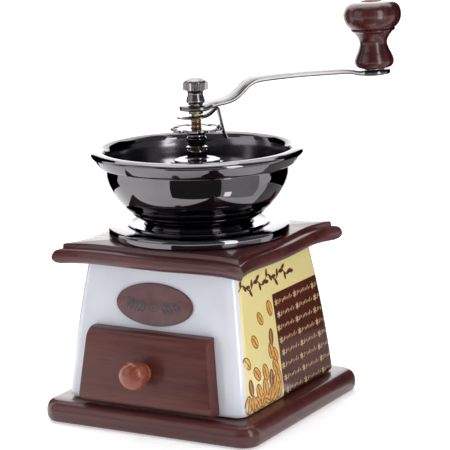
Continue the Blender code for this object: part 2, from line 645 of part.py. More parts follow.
def main():
    clear_scene()
    finish = make_finishes()
    build_base(finish)
    build_tie_screws(finish)
    build_ceramic_body(finish)
    build_plaque(finish)
    build_top_plate(finish)
    build_runners(finish)
    build_hopper(finish)
    build_carrier(finish)
    build_bridge(finish)
    build_bridge_screws(finish)
    build_bush(finish)
    mill = make_empty("mill_axis")
    build_burrs(finish, mill)
    build_spindle(finish, mill)
    build_wheel(finish, mill)
    build_washers(finish, mill)
    build_spring(finish, mill)
    build_crank(finish, mill)
    build_leaf(finish, mill)
    build_thumb_nut(finish, mill)
    build_handle(finish, mill)
    slide = make_empty("drawer_slide_axis")
    build_drawer(finish, slide)


main()
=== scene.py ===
# %% [markdown]
# # Hand-cranked burr coffee grinder
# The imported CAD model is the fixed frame.  Each visible piece is built again here at a finer
# grain, in the place its CAD node holds, and gets a finish made of shader nodes.
# Lengths in the tables are millimetres; the last step of every piece turns them into metres.

# %% Load the frame
import json
import math

import bmesh
import bpy
from mathutils import Matrix, Vector

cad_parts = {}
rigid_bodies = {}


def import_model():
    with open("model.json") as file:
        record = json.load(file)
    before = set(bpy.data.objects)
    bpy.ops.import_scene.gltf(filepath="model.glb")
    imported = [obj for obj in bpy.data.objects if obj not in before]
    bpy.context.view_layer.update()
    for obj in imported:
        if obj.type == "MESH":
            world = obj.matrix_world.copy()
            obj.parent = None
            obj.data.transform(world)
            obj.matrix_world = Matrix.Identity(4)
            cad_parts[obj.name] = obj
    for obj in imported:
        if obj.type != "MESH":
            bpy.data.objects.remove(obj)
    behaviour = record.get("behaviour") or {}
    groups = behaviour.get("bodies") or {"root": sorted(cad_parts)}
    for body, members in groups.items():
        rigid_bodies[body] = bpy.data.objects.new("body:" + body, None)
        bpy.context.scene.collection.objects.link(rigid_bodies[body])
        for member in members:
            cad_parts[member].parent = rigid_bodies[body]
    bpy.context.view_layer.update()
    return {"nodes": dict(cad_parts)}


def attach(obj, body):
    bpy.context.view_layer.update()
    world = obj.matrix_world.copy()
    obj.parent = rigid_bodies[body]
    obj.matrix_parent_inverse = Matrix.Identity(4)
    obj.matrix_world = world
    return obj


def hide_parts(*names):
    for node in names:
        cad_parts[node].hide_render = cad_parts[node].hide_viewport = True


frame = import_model()
MM = 0.001

# %% [markdown]
# ## Camera, light and floor
# A long lens from a metre away keeps the box's edges nearly parallel.  Dark plated metal only
# looks like metal when it has something to mirror, so the room is bright behind the grinder and
# dim in front, with one soft box to the left, a narrow one to the right and one overhead.

# %% Camera
camera_right = Vector((0.8738, 0.4856, -0.0257))
camera_up = Vector((-0.0761, 0.1887, 0.9791))
camera_back = camera_right.cross(camera_up)
camera_data = bpy.data.cameras.new("camera")
camera_data.lens = 161.55
camera_data.sensor_width = 36.0
camera_data.shift_x = 0.002
camera = bpy.data.objects.new("camera", camera_data)
camera.matrix_world = Matrix((camera_right, camera_up, camera_back)).transposed().to_4x4()
camera.location = (0.52943, -0.91373, 0.31655)
bpy.context.scene.collection.objects.link(camera)
bpy.context.scene.camera = camera
bpy.context.scene.view_settings.view_transform = "Standard"
print("camera lens", camera_data.lens, "mm")

# %% Room
ROOM_STRENGTH = 2.4
DIM_SIDE = (0.07, 0.07, 0.08, 1.0)
BRIGHT_SIDE = (1.0, 1.0, 1.0, 1.0)
world = bpy.data.worlds.new("studio")
bpy.context.scene.world = world
world.use_nodes = True
room = world.node_tree
room.nodes.clear()
look = room.nodes.new("ShaderNodeTexCoord")
facing = room.nodes.new("ShaderNodeVectorMath")
facing.operation = "DOT_PRODUCT"
facing.inputs[1].default_value = (-0.49, 0.87, 0.0)
shade = room.nodes.new("ShaderNodeValToRGB")
shade.color_ramp.elements[0].position = 0.55
shade.color_ramp.elements[0].color = DIM_SIDE
shade.color_ramp.elements[1].position = 0.68
shade.color_ramp.elements[1].color = BRIGHT_SIDE
spread = room.nodes.new("ShaderNodeMapRange")
spread.inputs["From Min"].default_value = -1.0
spread.inputs["From Max"].default_value = 1.0
glow = room.nodes.new("ShaderNodeBackground")
glow.inputs["Strength"].default_value = ROOM_STRENGTH
sky = room.nodes.new("ShaderNodeOutputWorld")
room.links.new(look.outputs["Generated"], facing.inputs[0])
room.links.new(facing.outputs["Value"], spread.inputs["Value"])
room.links.new(spread.outputs["Result"], shade.inputs["Fac"])
room.links.new(shade.outputs["Color"], glow.inputs["Color"])
room.links.new(glow.outputs["Background"], sky.inputs["Surface"])


def soft_box(name, place, width, height, power, aim=(0.0, 0.0, 0.1)):
    """A rectangular area light that faces the grinder."""
    light = bpy.data.lights.new(name, "AREA")
    light.shape = "RECTANGLE"
    light.size = width
    light.size_y = height
    light.energy = power
    lamp = bpy.data.objects.new(name, light)
    lamp.location = place
    lamp.rotation_euler = (Vector(place) - Vector(aim)).to_track_quat("Z", "Y").to_euler()
    bpy.context.scene.collection.objects.link(lamp)


TOWARDS_CAMERA = math.atan2(camera.location.y, camera.location.x)


def beside(degrees, distance, z):
    """A place at this distance from the spindle, turned to the right of the camera's side."""
    angle = TOWARDS_CAMERA + math.radians(degrees)
    return (distance * math.cos(angle), distance * math.sin(angle), z)


soft_box("left_box", beside(-65, 1.3, 0.62), 0.9, 0.9, 2.9)
soft_box("strip_box", beside(38, 0.52, 0.33), 0.15, 0.62, 1.5, (0.0, 0.0, 0.33))
soft_box("top_box", (-0.1, 0.1, 1.25), 0.9, 0.9, 4.6)

# %% [markdown]
# Cards stand round glossy things when they are shown off: a black one makes an edge read dark,
# and one that glows a little lays a soft highlight beside it.  These cards enter no view and show
# in reflections alone, but for the one on the right, which also keeps some light off that side.

# %% Cards for the reflections
CARD_DISTANCE = 0.34
CARD_TOP = 0.4
FAR_EDGE = 0.8


def reflected_card(name, corners, glow_level=0.0, shading=False):
    """A card that reflections see; with shading it also stands in the way of light."""
    paint = bpy.data.materials.new(name)
    paint.use_nodes = True
    shader = paint.node_tree.nodes["Principled BSDF"]
    shader.inputs["Base Color"].default_value = (0.0, 0.0, 0.0, 1.0)
    shader.inputs["Specular IOR Level"].default_value = 0.0
    shader.inputs["Emission Color"].default_value = (1.0, 0.97, 0.97, 1.0)
    shader.inputs["Emission Strength"].default_value = glow_level
    card_mesh = bpy.data.meshes.new(name)
    card_mesh.from_pydata(corners, [], [(0, 1, 2, 3)])
    card_mesh.materials.append(paint)
    card = bpy.data.objects.new(name, card_mesh)
    card.visible_camera = False
    card.visible_shadow = shading
    card.visible_diffuse = shading
    bpy.context.scene.collection.objects.link(card)


def upright_card(name, first, last, **options):
    """A standing card from one direction beside the camera to another, in degrees."""
    corners = [(first, 0.0), (last, 0.0), (last, CARD_TOP), (first, CARD_TOP)]
    reflected_card(name, [beside(way, CARD_DISTANCE, z) for way, z in corners], **options)


def lying_card(name, first, last, near, far, z=0.001, **options):
    """A card on the floor between two directions and two distances."""
    corners = [(first, near), (last, near), (last, far), (first, far)]
    reflected_card(name, [beside(way, distance, z) for way, distance in corners], **options)


upright_card("card_left", -114, -152)
upright_card("card_right", 98, 150, shading=True)
lying_card("card_front", -34, 28, 0.15, FAR_EDGE, glow_level=0.06)
lying_card("card_side", 28, 80, 0.15, FAR_EDGE, glow_level=0.7)
lying_card("card_spark", 33, 42, 0.15, 0.21, glow_level=4.5, z=0.002)
lying_card("card_behind", 96, 152, 0.10, CARD_DISTANCE, glow_level=0.3)

# %% [markdown]
# The floor is a plain pale sheet a hair under the base.  It glows a little of its own, so that it
# stays white away from the grinder and the shadow near the base stays soft.

# %% Floor
FLOOR_HALF = 6
FLOOR_GAP = 0.0002
floor_mesh = bpy.data.meshes.new("floor")
floor_mesh.from_pydata([(x * FLOOR_HALF, y * FLOOR_HALF, 0)
                        for x, y in ((-1, -1), (1, -1), (1, 1), (-1, 1))], [], [(0, 1, 2, 3)])
floor = bpy.data.objects.new("floor", floor_mesh)
floor.location.z = -FLOOR_GAP
bpy.context.scene.collection.objects.link(floor)
floor_paint = bpy.data.materials.new("floor_paint")
floor_paint.use_nodes = True
floor_shader = floor_paint.node_tree.nodes["Principled BSDF"]
floor_shader.inputs["Base Color"].default_value = (0.9, 0.9, 0.9, 1.0)
floor_shader.inputs["Roughness"].default_value = 0.9
floor_shader.inputs["Specular IOR Level"].default_value = 0.1
floor_shader.inputs["Emission Color"].default_value = (1.0, 1.0, 1.0, 1.0)
floor_shader.inputs["Emission Strength"].default_value = 0.45
floor_mesh.materials.append(floor_paint)
print("floor:", 2 * FLOOR_HALF, "m square,", FLOOR_GAP * 1000, "mm under the base")

# %% [markdown]
# ## Finishes
# Every finish is a small tree on the Principled shader: a pattern in Object coordinates drives
# the colour, the roughness and a fine bump.  The helpers below keep each recipe to a few lines.


# %% Node helpers
class NodeMoves:
    """The few moves that every material and every shape tree here is made of."""

    def node(self, kind, links=(), **values):
        """Add a node, set its properties, and wire or fill its inputs."""
        made = self.tree.nodes.new(kind)
        for key, value in values.items():
            setattr(made, key, value)
        for socket, source in dict(links).items():
            if isinstance(source, bpy.types.NodeSocket):
                self.tree.links.new(source, made.inputs[socket])
            else:
                made.inputs[socket].default_value = source
        return made

    def wire(self, source, target):
        self.tree.links.new(source, target)

    def math(self, operation, a, b=0.0):
        return self.node("ShaderNodeMath", {0: a, 1: b}, operation=operation).outputs[0]


class Recipe(NodeMoves):
    """A material on the Principled shader."""

    def __init__(self, name, **constants):
        self.material = bpy.data.materials.new(name)
        self.material.use_nodes = True
        self.tree = self.material.node_tree
        self.shader = self.tree.nodes["Principled BSDF"]
        for socket, value in constants.items():
            self.shader.inputs[socket.replace("_", " ")].default_value = value
        self.place = self.node("ShaderNodeTexCoord").outputs["Object"]

    def noise(self, scale, detail=3.0, stretch=(1.0, 1.0, 1.0), roughness=0.5, distortion=0.0):
        """Noise with grains of 1000 / scale millimetres, longer where stretch is small."""
        mapped = self.node("ShaderNodeMapping", {"Vector": self.place, "Scale": stretch})
        made = self.node("ShaderNodeTexNoise", {"Vector": mapped.outputs[0], "Scale": scale,
                                                "Detail": detail, "Roughness": roughness,
                                                "Distortion": distortion})
        return made.outputs["Fac"]

    def ramp(self, source, *stops):
        made = self.node("ShaderNodeValToRGB", {"Fac": source})
        elements = made.color_ramp.elements
        while len(elements) < len(stops):
            elements.new(0.5)
        for element, (position, colour) in zip(elements, stops):
            element.position = position
            element.color = (*colour, 1.0)
        return made.outputs["Color"]

    def span(self, source, low, high, to_low, to_high):
        made = self.node("ShaderNodeMapRange", {"Value": source, "From Min": low, "From Max": high,
                                                "To Min": to_low, "To Max": to_high})
        return made.outputs["Result"]

    def mix(self, factor, a, b, blend="MIX"):
        made = self.node("ShaderNodeMix", {0: factor, 6: a, 7: b}, data_type="RGBA",
                         blend_type=blend)
        return made.outputs[2]

    def axes(self):
        made = self.node("ShaderNodeSeparateXYZ", {0: self.place})
        return made.outputs[0], made.outputs[1], made.outputs[2]

    def bump(self, height, depth, strength=1.0):
        made = self.node("ShaderNodeBump", {"Height": height, "Distance": depth,
                                            "Strength": strength})
        self.wire(made.outputs[0], self.shader.inputs["Normal"])

    def wear(self, socket, source):
        """Let source drive one of the shader's inputs."""
        self.wire(source, self.shader.inputs[socket])


# %% [markdown]
# ### Stained and lacquered wood
# Beech stained dark red-brown: long streaks of darker stain follow the grain, fine pores run
# along them, and a clear lacquer over all of it mirrors the room softly.  The same recipe serves
# three grain directions and five depths of colour, the palest of them for bare wood.


# %% Wood recipes
def wood_finish(name, dark, light, stretch, roughness, coat):
    wood = Recipe(name, Coat_Weight=coat, Coat_Roughness=0.14, Specular_IOR_Level=0.3)
    streaks = wood.noise(260.0, 4.0, stretch, 0.62, 0.4)
    bands = wood.noise(60.0, 2.0, stretch, 0.5, 0.8)
    pores = wood.noise(1500.0, 2.0, stretch, 0.7)
    mixed = wood.math("ADD", wood.math("MULTIPLY", streaks, 0.6),
                      wood.math("MULTIPLY", bands, 0.4))
    stain = wood.ramp(mixed, (0.34, dark), (0.5, tuple((a + b) / 2 for a, b in zip(dark, light))),
                      (0.64, light))
    pore_mask = wood.span(pores, 0.30, 0.42, 0.55, 1.0)
    shaded = wood.mix(1.0, stain, wood.ramp(pore_mask, (0.0, (0.0, 0.0, 0.0)),
                                            (1.0, (1.0, 1.0, 1.0))), "MULTIPLY")
    wood.wear("Base Color", shaded)
    wood.wear("Roughness", wood.span(streaks, 0.3, 0.7, roughness - 0.06, roughness + 0.08))
    wood.bump(wood.math("ADD", pores, streaks), 0.00004, 0.5)
    return wood.material


ALONG_X = (0.05, 1.0, 1.0)
ALONG_Y = (1.0, 0.05, 1.0)
ALONG_Z = (1.0, 1.0, 0.06)
stained_wood = wood_finish("stained_wood", (0.040, 0.008, 0.008), (0.105, 0.021, 0.019), ALONG_X,
                           0.42, 0.5)
drawer_wood = wood_finish("drawer_wood", (0.060, 0.012, 0.010), (0.120, 0.028, 0.020), ALONG_X,
                          0.42, 0.2)
handle_wood = wood_finish("handle_wood", (0.030, 0.005, 0.006), (0.080, 0.013, 0.012), ALONG_Z,
                          0.26, 0.45)
pull_wood = wood_finish("pull_wood", (0.15, 0.030, 0.016), (0.30, 0.075, 0.036), ALONG_Y, 0.34,
                        0.5)
bare_wood = wood_finish("bare_wood", (0.40, 0.25, 0.13), (0.58, 0.41, 0.24), ALONG_Y, 0.65, 0.0)
print("woods:", ", ".join(m.name for m in bpy.data.materials if m.name.endswith("_wood")))

# %% [markdown]
# ### Glazed ceramic and its side print
# The box is slip-cast and glazed white.  Its two sides are printed: a cream ground and a dark
# brown panel.  Which part of the surface is which follows from Object coordinates alone, so the
# print stays put from every side.  Real glaze is a little uneven, which shows in the gloss.

# %% Glaze
CREAM = (0.76, 0.65, 0.29, 1.0)
BROWN = (0.078, 0.016, 0.012, 1.0)
PANEL_EDGE_Y = -8.5 * MM
PANEL_TOP_Z = 67.5 * MM
CORNER_MARGIN = 4.5 * MM
glaze = Recipe("glaze", Specular_IOR_Level=0.6, Coat_Weight=0.3, Coat_Roughness=0.05)
x_axis, y_axis, z_axis = glaze.axes()
across = glaze.math("ABSOLUTE", x_axis)
past_diagonal = glaze.math("SUBTRACT", across, glaze.math("ABSOLUTE", y_axis))
side_mask = glaze.math("GREATER_THAN", past_diagonal, CORNER_MARGIN)
forward = glaze.math("MULTIPLY", glaze.math("SIGN", x_axis), y_axis)
panel_mask = glaze.math("MULTIPLY", glaze.math("GREATER_THAN", forward, PANEL_EDGE_Y),
                        glaze.math("LESS_THAN", z_axis, PANEL_TOP_Z))
mottle = glaze.noise(40.0, 3.0)
speckle = glaze.noise(900.0, 2.0)
white = glaze.ramp(mottle, (0.3, (0.66, 0.68, 0.74)), (0.7, (0.72, 0.74, 0.79)))
cream = glaze.mix(glaze.span(speckle, 0.35, 0.65, 0.0, 0.12), CREAM, (0.66, 0.54, 0.23, 1.0))
brown = glaze.mix(glaze.span(speckle, 0.35, 0.65, 0.0, 0.3), BROWN, (0.13, 0.035, 0.025, 1.0))
printed = glaze.mix(panel_mask, cream, brown)
glaze.wear("Base Color", glaze.mix(side_mask, white, printed))
glaze.wear("Roughness", glaze.span(mottle, 0.3, 0.7, 0.10, 0.17))
glaze.bump(glaze.noise(25.0, 1.0), 0.0003, 0.25)
print("glaze nodes:", len(glaze.tree.nodes))


# %% [markdown]
# ### Inks and the plaque's ground
# Printed inks are flat colours, and a slight mottle in each keeps it from looking like plastic.
# The plaque is a dull brown-red with a faint pitting.


# %% Inks and plaque
def flat_ink(name, colour, deeper, roughness=0.35):
    ink = Recipe(name, Specular_IOR_Level=0.4)
    ink.wear("Base Color", ink.ramp(ink.noise(500.0, 3.0), (0.35, colour), (0.65, deeper)))
    ink.wear("Roughness", ink.span(ink.noise(200.0), 0.3, 0.7, roughness - 0.05, roughness + 0.08))
    return ink.material


bean_orange = flat_ink("bean_orange", (0.80, 0.42, 0.07), (0.58, 0.24, 0.035))
bean_brown = flat_ink("bean_brown", (0.17, 0.050, 0.020), (0.30, 0.10, 0.035))
line_brown = flat_ink("line_brown", (0.085, 0.022, 0.012), (0.12, 0.035, 0.02))
cream_ink = flat_ink("cream_ink", (0.56, 0.45, 0.22), (0.42, 0.31, 0.14))
slate_ink = flat_ink("slate_ink", (0.045, 0.040, 0.050), (0.075, 0.065, 0.075))
plaque_finish = Recipe("plaque_finish", Specular_IOR_Level=0.4, Coat_Weight=0.2)
plaque_finish.wear("Base Color", plaque_finish.ramp(plaque_finish.noise(160.0, 4.0),
                                                    (0.35, (0.105, 0.040, 0.042)),
                                                    (0.65, (0.135, 0.056, 0.056))))
plaque_finish.wear("Roughness", plaque_finish.span(plaque_finish.noise(70.0), 0.3, 0.7, 0.34, 0.46))
plaque_finish.bump(plaque_finish.noise(1200.0), 0.00003, 0.4)
print("inks:", ", ".join(ink.name for ink in (bean_orange, bean_brown, line_brown, cream_ink,
                                              slate_ink)))

# %% [markdown]
# ### Plated and bare metals
# Dark nickel is a mirror with a low reflectance; bright nickel and zinc are duller and carry fine
# polishing lines.  A metal's colour is its mirror colour, so dark nickel is a dark mirror.


# %% Metal recipes
def metal_finish(name, dark, light, roughness, grain, stretch=(1.0, 1.0, 1.0), depth=0.00001,
                 edge=1.0):
    """edge is how bright the metal turns where it is seen at a grazing angle."""
    metal = Recipe(name, Metallic=1.0, Specular_Tint=(edge, edge, edge, 1.0))
    cloud = metal.noise(45.0, 3.0)
    lines = metal.noise(grain, 3.0, stretch, 0.6)
    metal.wear("Base Color", metal.ramp(cloud, (0.35, dark), (0.65, light)))
    gloss = metal.math("ADD", metal.span(cloud, 0.3, 0.7, roughness * 0.8, roughness * 1.1),
                       metal.span(lines, 0.3, 0.7, 0.0, roughness * 0.35))
    metal.wear("Roughness", gloss)
    metal.bump(lines, depth, 0.4)
    return metal.material


dark_nickel = metal_finish("dark_nickel", (0.140, 0.134, 0.142), (0.168, 0.160, 0.170), 0.045,
                           700.0, (1.0, 1.0, 6.0), 0.000002)
satin_nickel = metal_finish("satin_nickel", (0.150, 0.144, 0.152), (0.190, 0.182, 0.192), 0.15,
                            700.0, (1.0, 1.0, 6.0), 0.000004)
bright_nickel = metal_finish("bright_nickel", (0.125, 0.117, 0.117), (0.18, 0.17, 0.168), 0.17,
                             1500.0, (0.2, 0.2, 1.0), edge=0.85)
dull_nickel = metal_finish("dull_nickel", (0.17, 0.155, 0.16), (0.27, 0.245, 0.25), 0.20, 1200.0)
thread_metal = metal_finish("thread_metal", (0.25, 0.14, 0.08), (0.46, 0.30, 0.19), 0.34, 900.0)
yellow_zinc = metal_finish("yellow_zinc", (0.42, 0.33, 0.14), (0.60, 0.50, 0.26), 0.34, 900.0)
# Yellow zinc darkened to stand for the shade that falls on the crank's spacer and washer under the
# thumb nut: painted shade.
painted_shade_zinc = metal_finish("painted_shade_zinc", (0.14, 0.12, 0.09), (0.25, 0.21, 0.15), 0.26, 900.0,
                         edge=0.5)
cast_iron = metal_finish("cast_iron", (0.06, 0.06, 0.062), (0.13, 0.13, 0.13), 0.55, 1100.0,
                         depth=0.00012)
spring_steel = metal_finish("spring_steel", (0.34, 0.34, 0.36), (0.46, 0.46, 0.47), 0.26, 1600.0)
print("finishes:", len(bpy.data.materials))

# %% [markdown]
# ## Shape helpers
# Three ways of making a solid cover most of the grinder: a profile turned about Z, a stack of
# rings skinned into a shell, and a flat strip that follows a bent line.


# %% Lines, rings and shells
def flow(points, steps=6):
    """A smooth line through points: a centripetal Catmull-Rom curve."""
    points = [Vector(p) for p in points]
    padded = [2 * points[0] - points[1], *points, 2 * points[-1] - points[-2]]
    line = []
    for a, b, c, d in zip(padded, padded[1:], padded[2:], padded[3:]):
        first = (b - a).length ** 0.5
        second = first + (c - b).length ** 0.5
        third = second + (d - c).length ** 0.5
        for step in range(steps):
            t = first + (second - first) * step / steps
            p = a.lerp(b, t / first)
            q = b.lerp(c, (t - first) / (second - first))
            r = c.lerp(d, (t - second) / (third - second))
            u = p.lerp(q, t / second)
            v = q.lerp(r, (t - first) / (third - first))
            line.append(u.lerp(v, (t - first) / (second - first)))
    line.append(points[-1])
    return line


def circle(radius, z, count, start=0.0, centre=(0.0, 0.0)):
    """A ring of count points about an upright axis, the first of them at angle start."""
    angles = [2.0 * math.pi * i / count + start for i in range(count)]
    return [Vector((centre[0] + radius * math.cos(angle), centre[1] + radius * math.sin(angle), z))
            for angle in angles]


def skin(rings, tube=False):
    """A shell over a stack of rings; a tube's last ring meets its first, else both are capped."""
    builder = bmesh.new()
    loops = [[builder.verts.new(point) for point in ring] for ring in rings]
    pairs = list(zip(loops, loops[1:]))
    if tube:
        pairs.append((loops[-1], loops[0]))
    for low, high in pairs:
        for i in range(len(low)):
            j = (i + 1) % len(low)
            builder.faces.new((low[i], low[j], high[j], high[i]))
    if not tube:
        builder.faces.new(list(reversed(loops[0])))
        builder.faces.new(loops[-1])
    return builder


def settle(name, mesh, finishes, body, nodes=(), crease=32.0, kinds=None):
    """Put a finished mesh, already in metres, on its body as a piece; kinds numbers each face's
    finish where there are several."""
    mesh.materials.clear()
    for finish in finishes:
        mesh.materials.append(getattr(finish, "material", finish))
    mesh.polygons.foreach_set("material_index", kinds or [0] * len(mesh.polygons))
    mesh.shade_smooth()
    mesh.set_sharp_from_angle(angle=math.radians(crease))
    mesh.name = name
    piece = bpy.data.objects.new(name, mesh)
    bpy.context.scene.collection.objects.link(piece)
    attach(piece, body)
    if nodes:
        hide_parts(*nodes)
    print(f"{name}: {len(mesh.polygons)} faces on {body}")
    return piece


def to_mesh(name, builder):
    """Merge, face outwards and turn a builder in millimetres into a mesh in metres."""
    bmesh.ops.remove_doubles(builder, verts=builder.verts, dist=1e-4)
    bmesh.ops.recalc_face_normals(builder, faces=builder.faces)
    bmesh.ops.scale(builder, vec=(MM, MM, MM), verts=builder.verts)
    mesh = bpy.data.meshes.new(name)
    builder.to_mesh(mesh)
    builder.free()
    return mesh


def after_modifiers(name, mesh, set_up):
    """The mesh that modifiers leave; set_up adds them to a passing object."""
    passing = bpy.data.objects.new(name + "_work", mesh)
    bpy.context.scene.collection.objects.link(passing)
    helpers = set_up(passing) or []
    bpy.context.view_layer.update()
    view = bpy.context.evaluated_depsgraph_get()
    result = bpy.data.meshes.new_from_object(passing.evaluated_get(view))
    for extra in [passing, *helpers]:
        bpy.data.objects.remove(extra, do_unlink=True)
    return result


def subtract(name, mesh, cutter_mesh):
    """mesh with cutter_mesh cut out of it."""
    def set_up(passing):
        cutter = bpy.data.objects.new(name + "_cutter", cutter_mesh)
        bpy.context.scene.collection.objects.link(cutter)
        cut = passing.modifiers.new("cut", "BOOLEAN")
        cut.operation = "DIFFERENCE"
        cut.solver = "EXACT"
        cut.object = cutter
        return [cutter]
    return after_modifiers(name, mesh, set_up)


# %% [markdown]
# ### Turning as a node tree
# A bowl, a knob or a washer is one line swept about an axis, the way a lathe or a spinning chuck
# makes it.  The tree lays a grid over (angle, place along the line), looks each point's radius
# and height up in the line, and closes the seam.  One tree then serves every turned piece.


# %% Turning tree
class Tree(NodeMoves):
    """A Geometry Nodes tree with named inputs."""

    def __init__(self, name, inputs):
        self.tree = bpy.data.node_groups.new(name, "GeometryNodeTree")
        self.ids = {}
        face = self.tree.interface
        face.new_socket("Geometry", in_out="INPUT", socket_type="NodeSocketGeometry")
        face.new_socket("Geometry", in_out="OUTPUT", socket_type="NodeSocketGeometry")
        for label, kind, value in inputs:
            made = face.new_socket(label, in_out="INPUT", socket_type="NodeSocket" + kind)
            if value is not None:
                made.default_value = value
            self.ids[label] = made.identifier
        self.given = self.tree.nodes.new("NodeGroupInput").outputs
        self.result = self.tree.nodes.new("NodeGroupOutput").inputs[0]

    def join(self, *parts):
        made = self.node("GeometryNodeJoinGeometry")
        for part in parts:
            self.wire(part, made.inputs[0])
        return made.outputs[0]

    def end(self, geometry, material):
        """Turn instances into geometry, give it one finish and hand it to the output."""
        real = self.node("GeometryNodeRealizeInstances", {0: geometry})
        last = self.node("GeometryNodeSetMaterial", {0: real.outputs[0], "Material": material})
        self.wire(last.outputs[0], self.result)

    def run(self, name, mesh, **values):
        """Evaluate the tree on a mesh and return the plain mesh it makes."""
        def set_up(passing):
            modifier = passing.modifiers.new("tree", "NODES")
            modifier.node_group = self.tree
            for label, value in values.items():
                modifier[self.ids[label.replace("_", " ")]] = value
        return after_modifiers(name, mesh, set_up)


def make_turning_tree():
    tree = Tree("turning", [("Segments", "Int", 64), ("Finish", "Material", None)])
    line = tree.given["Geometry"]
    count = tree.node("GeometryNodeAttributeDomainSize", {0: line}).outputs["Point Count"]
    around = tree.math("ADD", tree.given["Segments"], 1.0)
    grid = tree.node("GeometryNodeMeshGrid", {"Size X": 1.0, "Size Y": 1.0, "Vertices X": around,
                                              "Vertices Y": count}).outputs[0]
    position = tree.node("GeometryNodeInputPosition").outputs[0]
    here = tree.node("ShaderNodeSeparateXYZ", {0: position})
    angle = tree.math("MULTIPLY", tree.math("ADD", here.outputs[0], 0.5), 2.0 * math.pi)
    row = tree.math("ROUND", tree.math("MULTIPLY", tree.math("ADD", here.outputs[1], 0.5),
                                       tree.math("SUBTRACT", count, 1.0)))
    spot = tree.node("GeometryNodeSampleIndex", {"Geometry": line, "Index": row},
                     data_type="FLOAT_VECTOR")
    tree.wire(tree.node("GeometryNodeInputPosition").outputs[0], spot.inputs["Value"])
    found = tree.node("ShaderNodeSeparateXYZ", {0: spot.outputs[0]})
    radius, height = found.outputs[0], found.outputs[2]
    place = tree.node("ShaderNodeCombineXYZ",
                      {0: tree.math("MULTIPLY", radius, tree.math("COSINE", angle)),
                       1: tree.math("MULTIPLY", radius, tree.math("SINE", angle)), 2: height})
    moved = tree.node("GeometryNodeSetPosition", {0: grid, "Position": place.outputs[0]})
    closed = tree.node("GeometryNodeMergeByDistance", {0: moved.outputs[0], "Distance": 1e-7})
    tree.end(closed.outputs[0], tree.given["Finish"])
    return tree


turning = make_turning_tree()


def turned(name, profile, segments, finish, place=None):
    """A turned mesh in metres from (radius, z) points in millimetres; place moves it."""
    points = [Vector((p[0] * MM, 0.0, p[1] * MM)) for p in profile]
    points.append(points[0].copy())
    line = bpy.data.meshes.new(name + "_line")
    line.from_pydata(points, [(i, i + 1) for i in range(len(points) - 1)], [])
    mesh = turning.run(name, line, Segments=segments, Finish=getattr(finish, "material", finish))
    builder = bmesh.new()
    builder.from_mesh(mesh)
    bmesh.ops.remove_doubles(builder, verts=builder.verts, dist=1e-7)
    bmesh.ops.recalc_face_normals(builder, faces=builder.faces)
    if place is not None:
        bmesh.ops.transform(builder, matrix=place, verts=builder.verts)
    builder.to_mesh(mesh)
    builder.free()
    return mesh


print("turning tree inputs:", ", ".join(turning.ids))

# %% [markdown]
# ## Wooden base
# A square board with rounded corners and a bullnose edge, run round with a router on the real
# one.  Four blind recesses under it take the heads of the screws that tie the grinder together.

# %% Wooden base
BASE_HALF = 64.0
BASE_CORNER = 10.0
TIE_AT = 35.5
RECESS_R = 4.2
RECESS_TOP = 3.6


def rounded_square(half, radius, z, steps=10):
    points = []
    for quarter in range(4):
        start = quarter * math.pi / 2.0
        middle = start + math.pi / 4.0
        centre = Vector((math.cos(middle), math.sin(middle))) * (half - radius) * math.sqrt(2.0)
        for i in range(steps + 1):
            angle = start + i * math.pi / 2.0 / steps
            points.append(Vector((centre.x + radius * math.cos(angle),
                                  centre.y + radius * math.sin(angle), z)))
    return points


def together(builders):
    """One builder with everything that the given ones hold."""
    whole = bmesh.new()
    for builder in builders:
        part = bpy.data.meshes.new("part")
        builder.to_mesh(part)
        builder.free()
        whole.from_mesh(part)
        bpy.data.meshes.remove(part)
    return whole


tie_places = [(x, y) for x in (-TIE_AT, TIE_AT) for y in (-TIE_AT, TIE_AT)]
base_edge = flow([(3.2, 0.0), (1.0, 1.0), (0.0, 3.4), (0.0, 6.6), (1.2, 9.8), (3.6, 11.6),
                  (5.8, 12.0)], 5)
base_rings = [rounded_square(BASE_HALF - max(p.x, 0.0), BASE_CORNER - max(p.x, 0.0), p.y)
              for p in base_edge]
base_mesh = to_mesh("base", skin(base_rings))
recesses = to_mesh("recesses", together([skin([circle(RECESS_R, z, 32, centre=place)
                                               for z in (-1.0, RECESS_TOP)])
                                         for place in tie_places]))
settle("wooden_base", subtract("base", base_mesh, recesses), [stained_wood], "housing",
       ["base_plate"])

# %% [markdown]
# ## Ceramic box
# The walls lean in and swell a little half-way up, as slip-cast ware does.  Rings of a rounded
# square follow that curve; the drawer's mouth is then cut in the front wall.

# %% Ceramic box
BODY_BOTTOM = 12.3
BODY_TOP = 84.5
BODY_HALF_BOTTOM = 53.9
BODY_HALF_TOP = 44.9
BODY_BULGE = 0.7
BODY_WALL = 4.5
BODY_CORNER = 7.0
INSIDE_CORNER = 4.0
MOUTH_SIZE = (64.0, 30.0, 30.6)
MOUTH_AT = (0.0, -55.0, 31.3)


def wall(z):
    """Half the box's side at height z."""
    u = (z - BODY_BOTTOM) / (BODY_TOP - BODY_BOTTOM)
    return (BODY_HALF_BOTTOM + (BODY_HALF_TOP - BODY_HALF_BOTTOM) * u
            + BODY_BULGE * 4.0 * u * (1.0 - u))


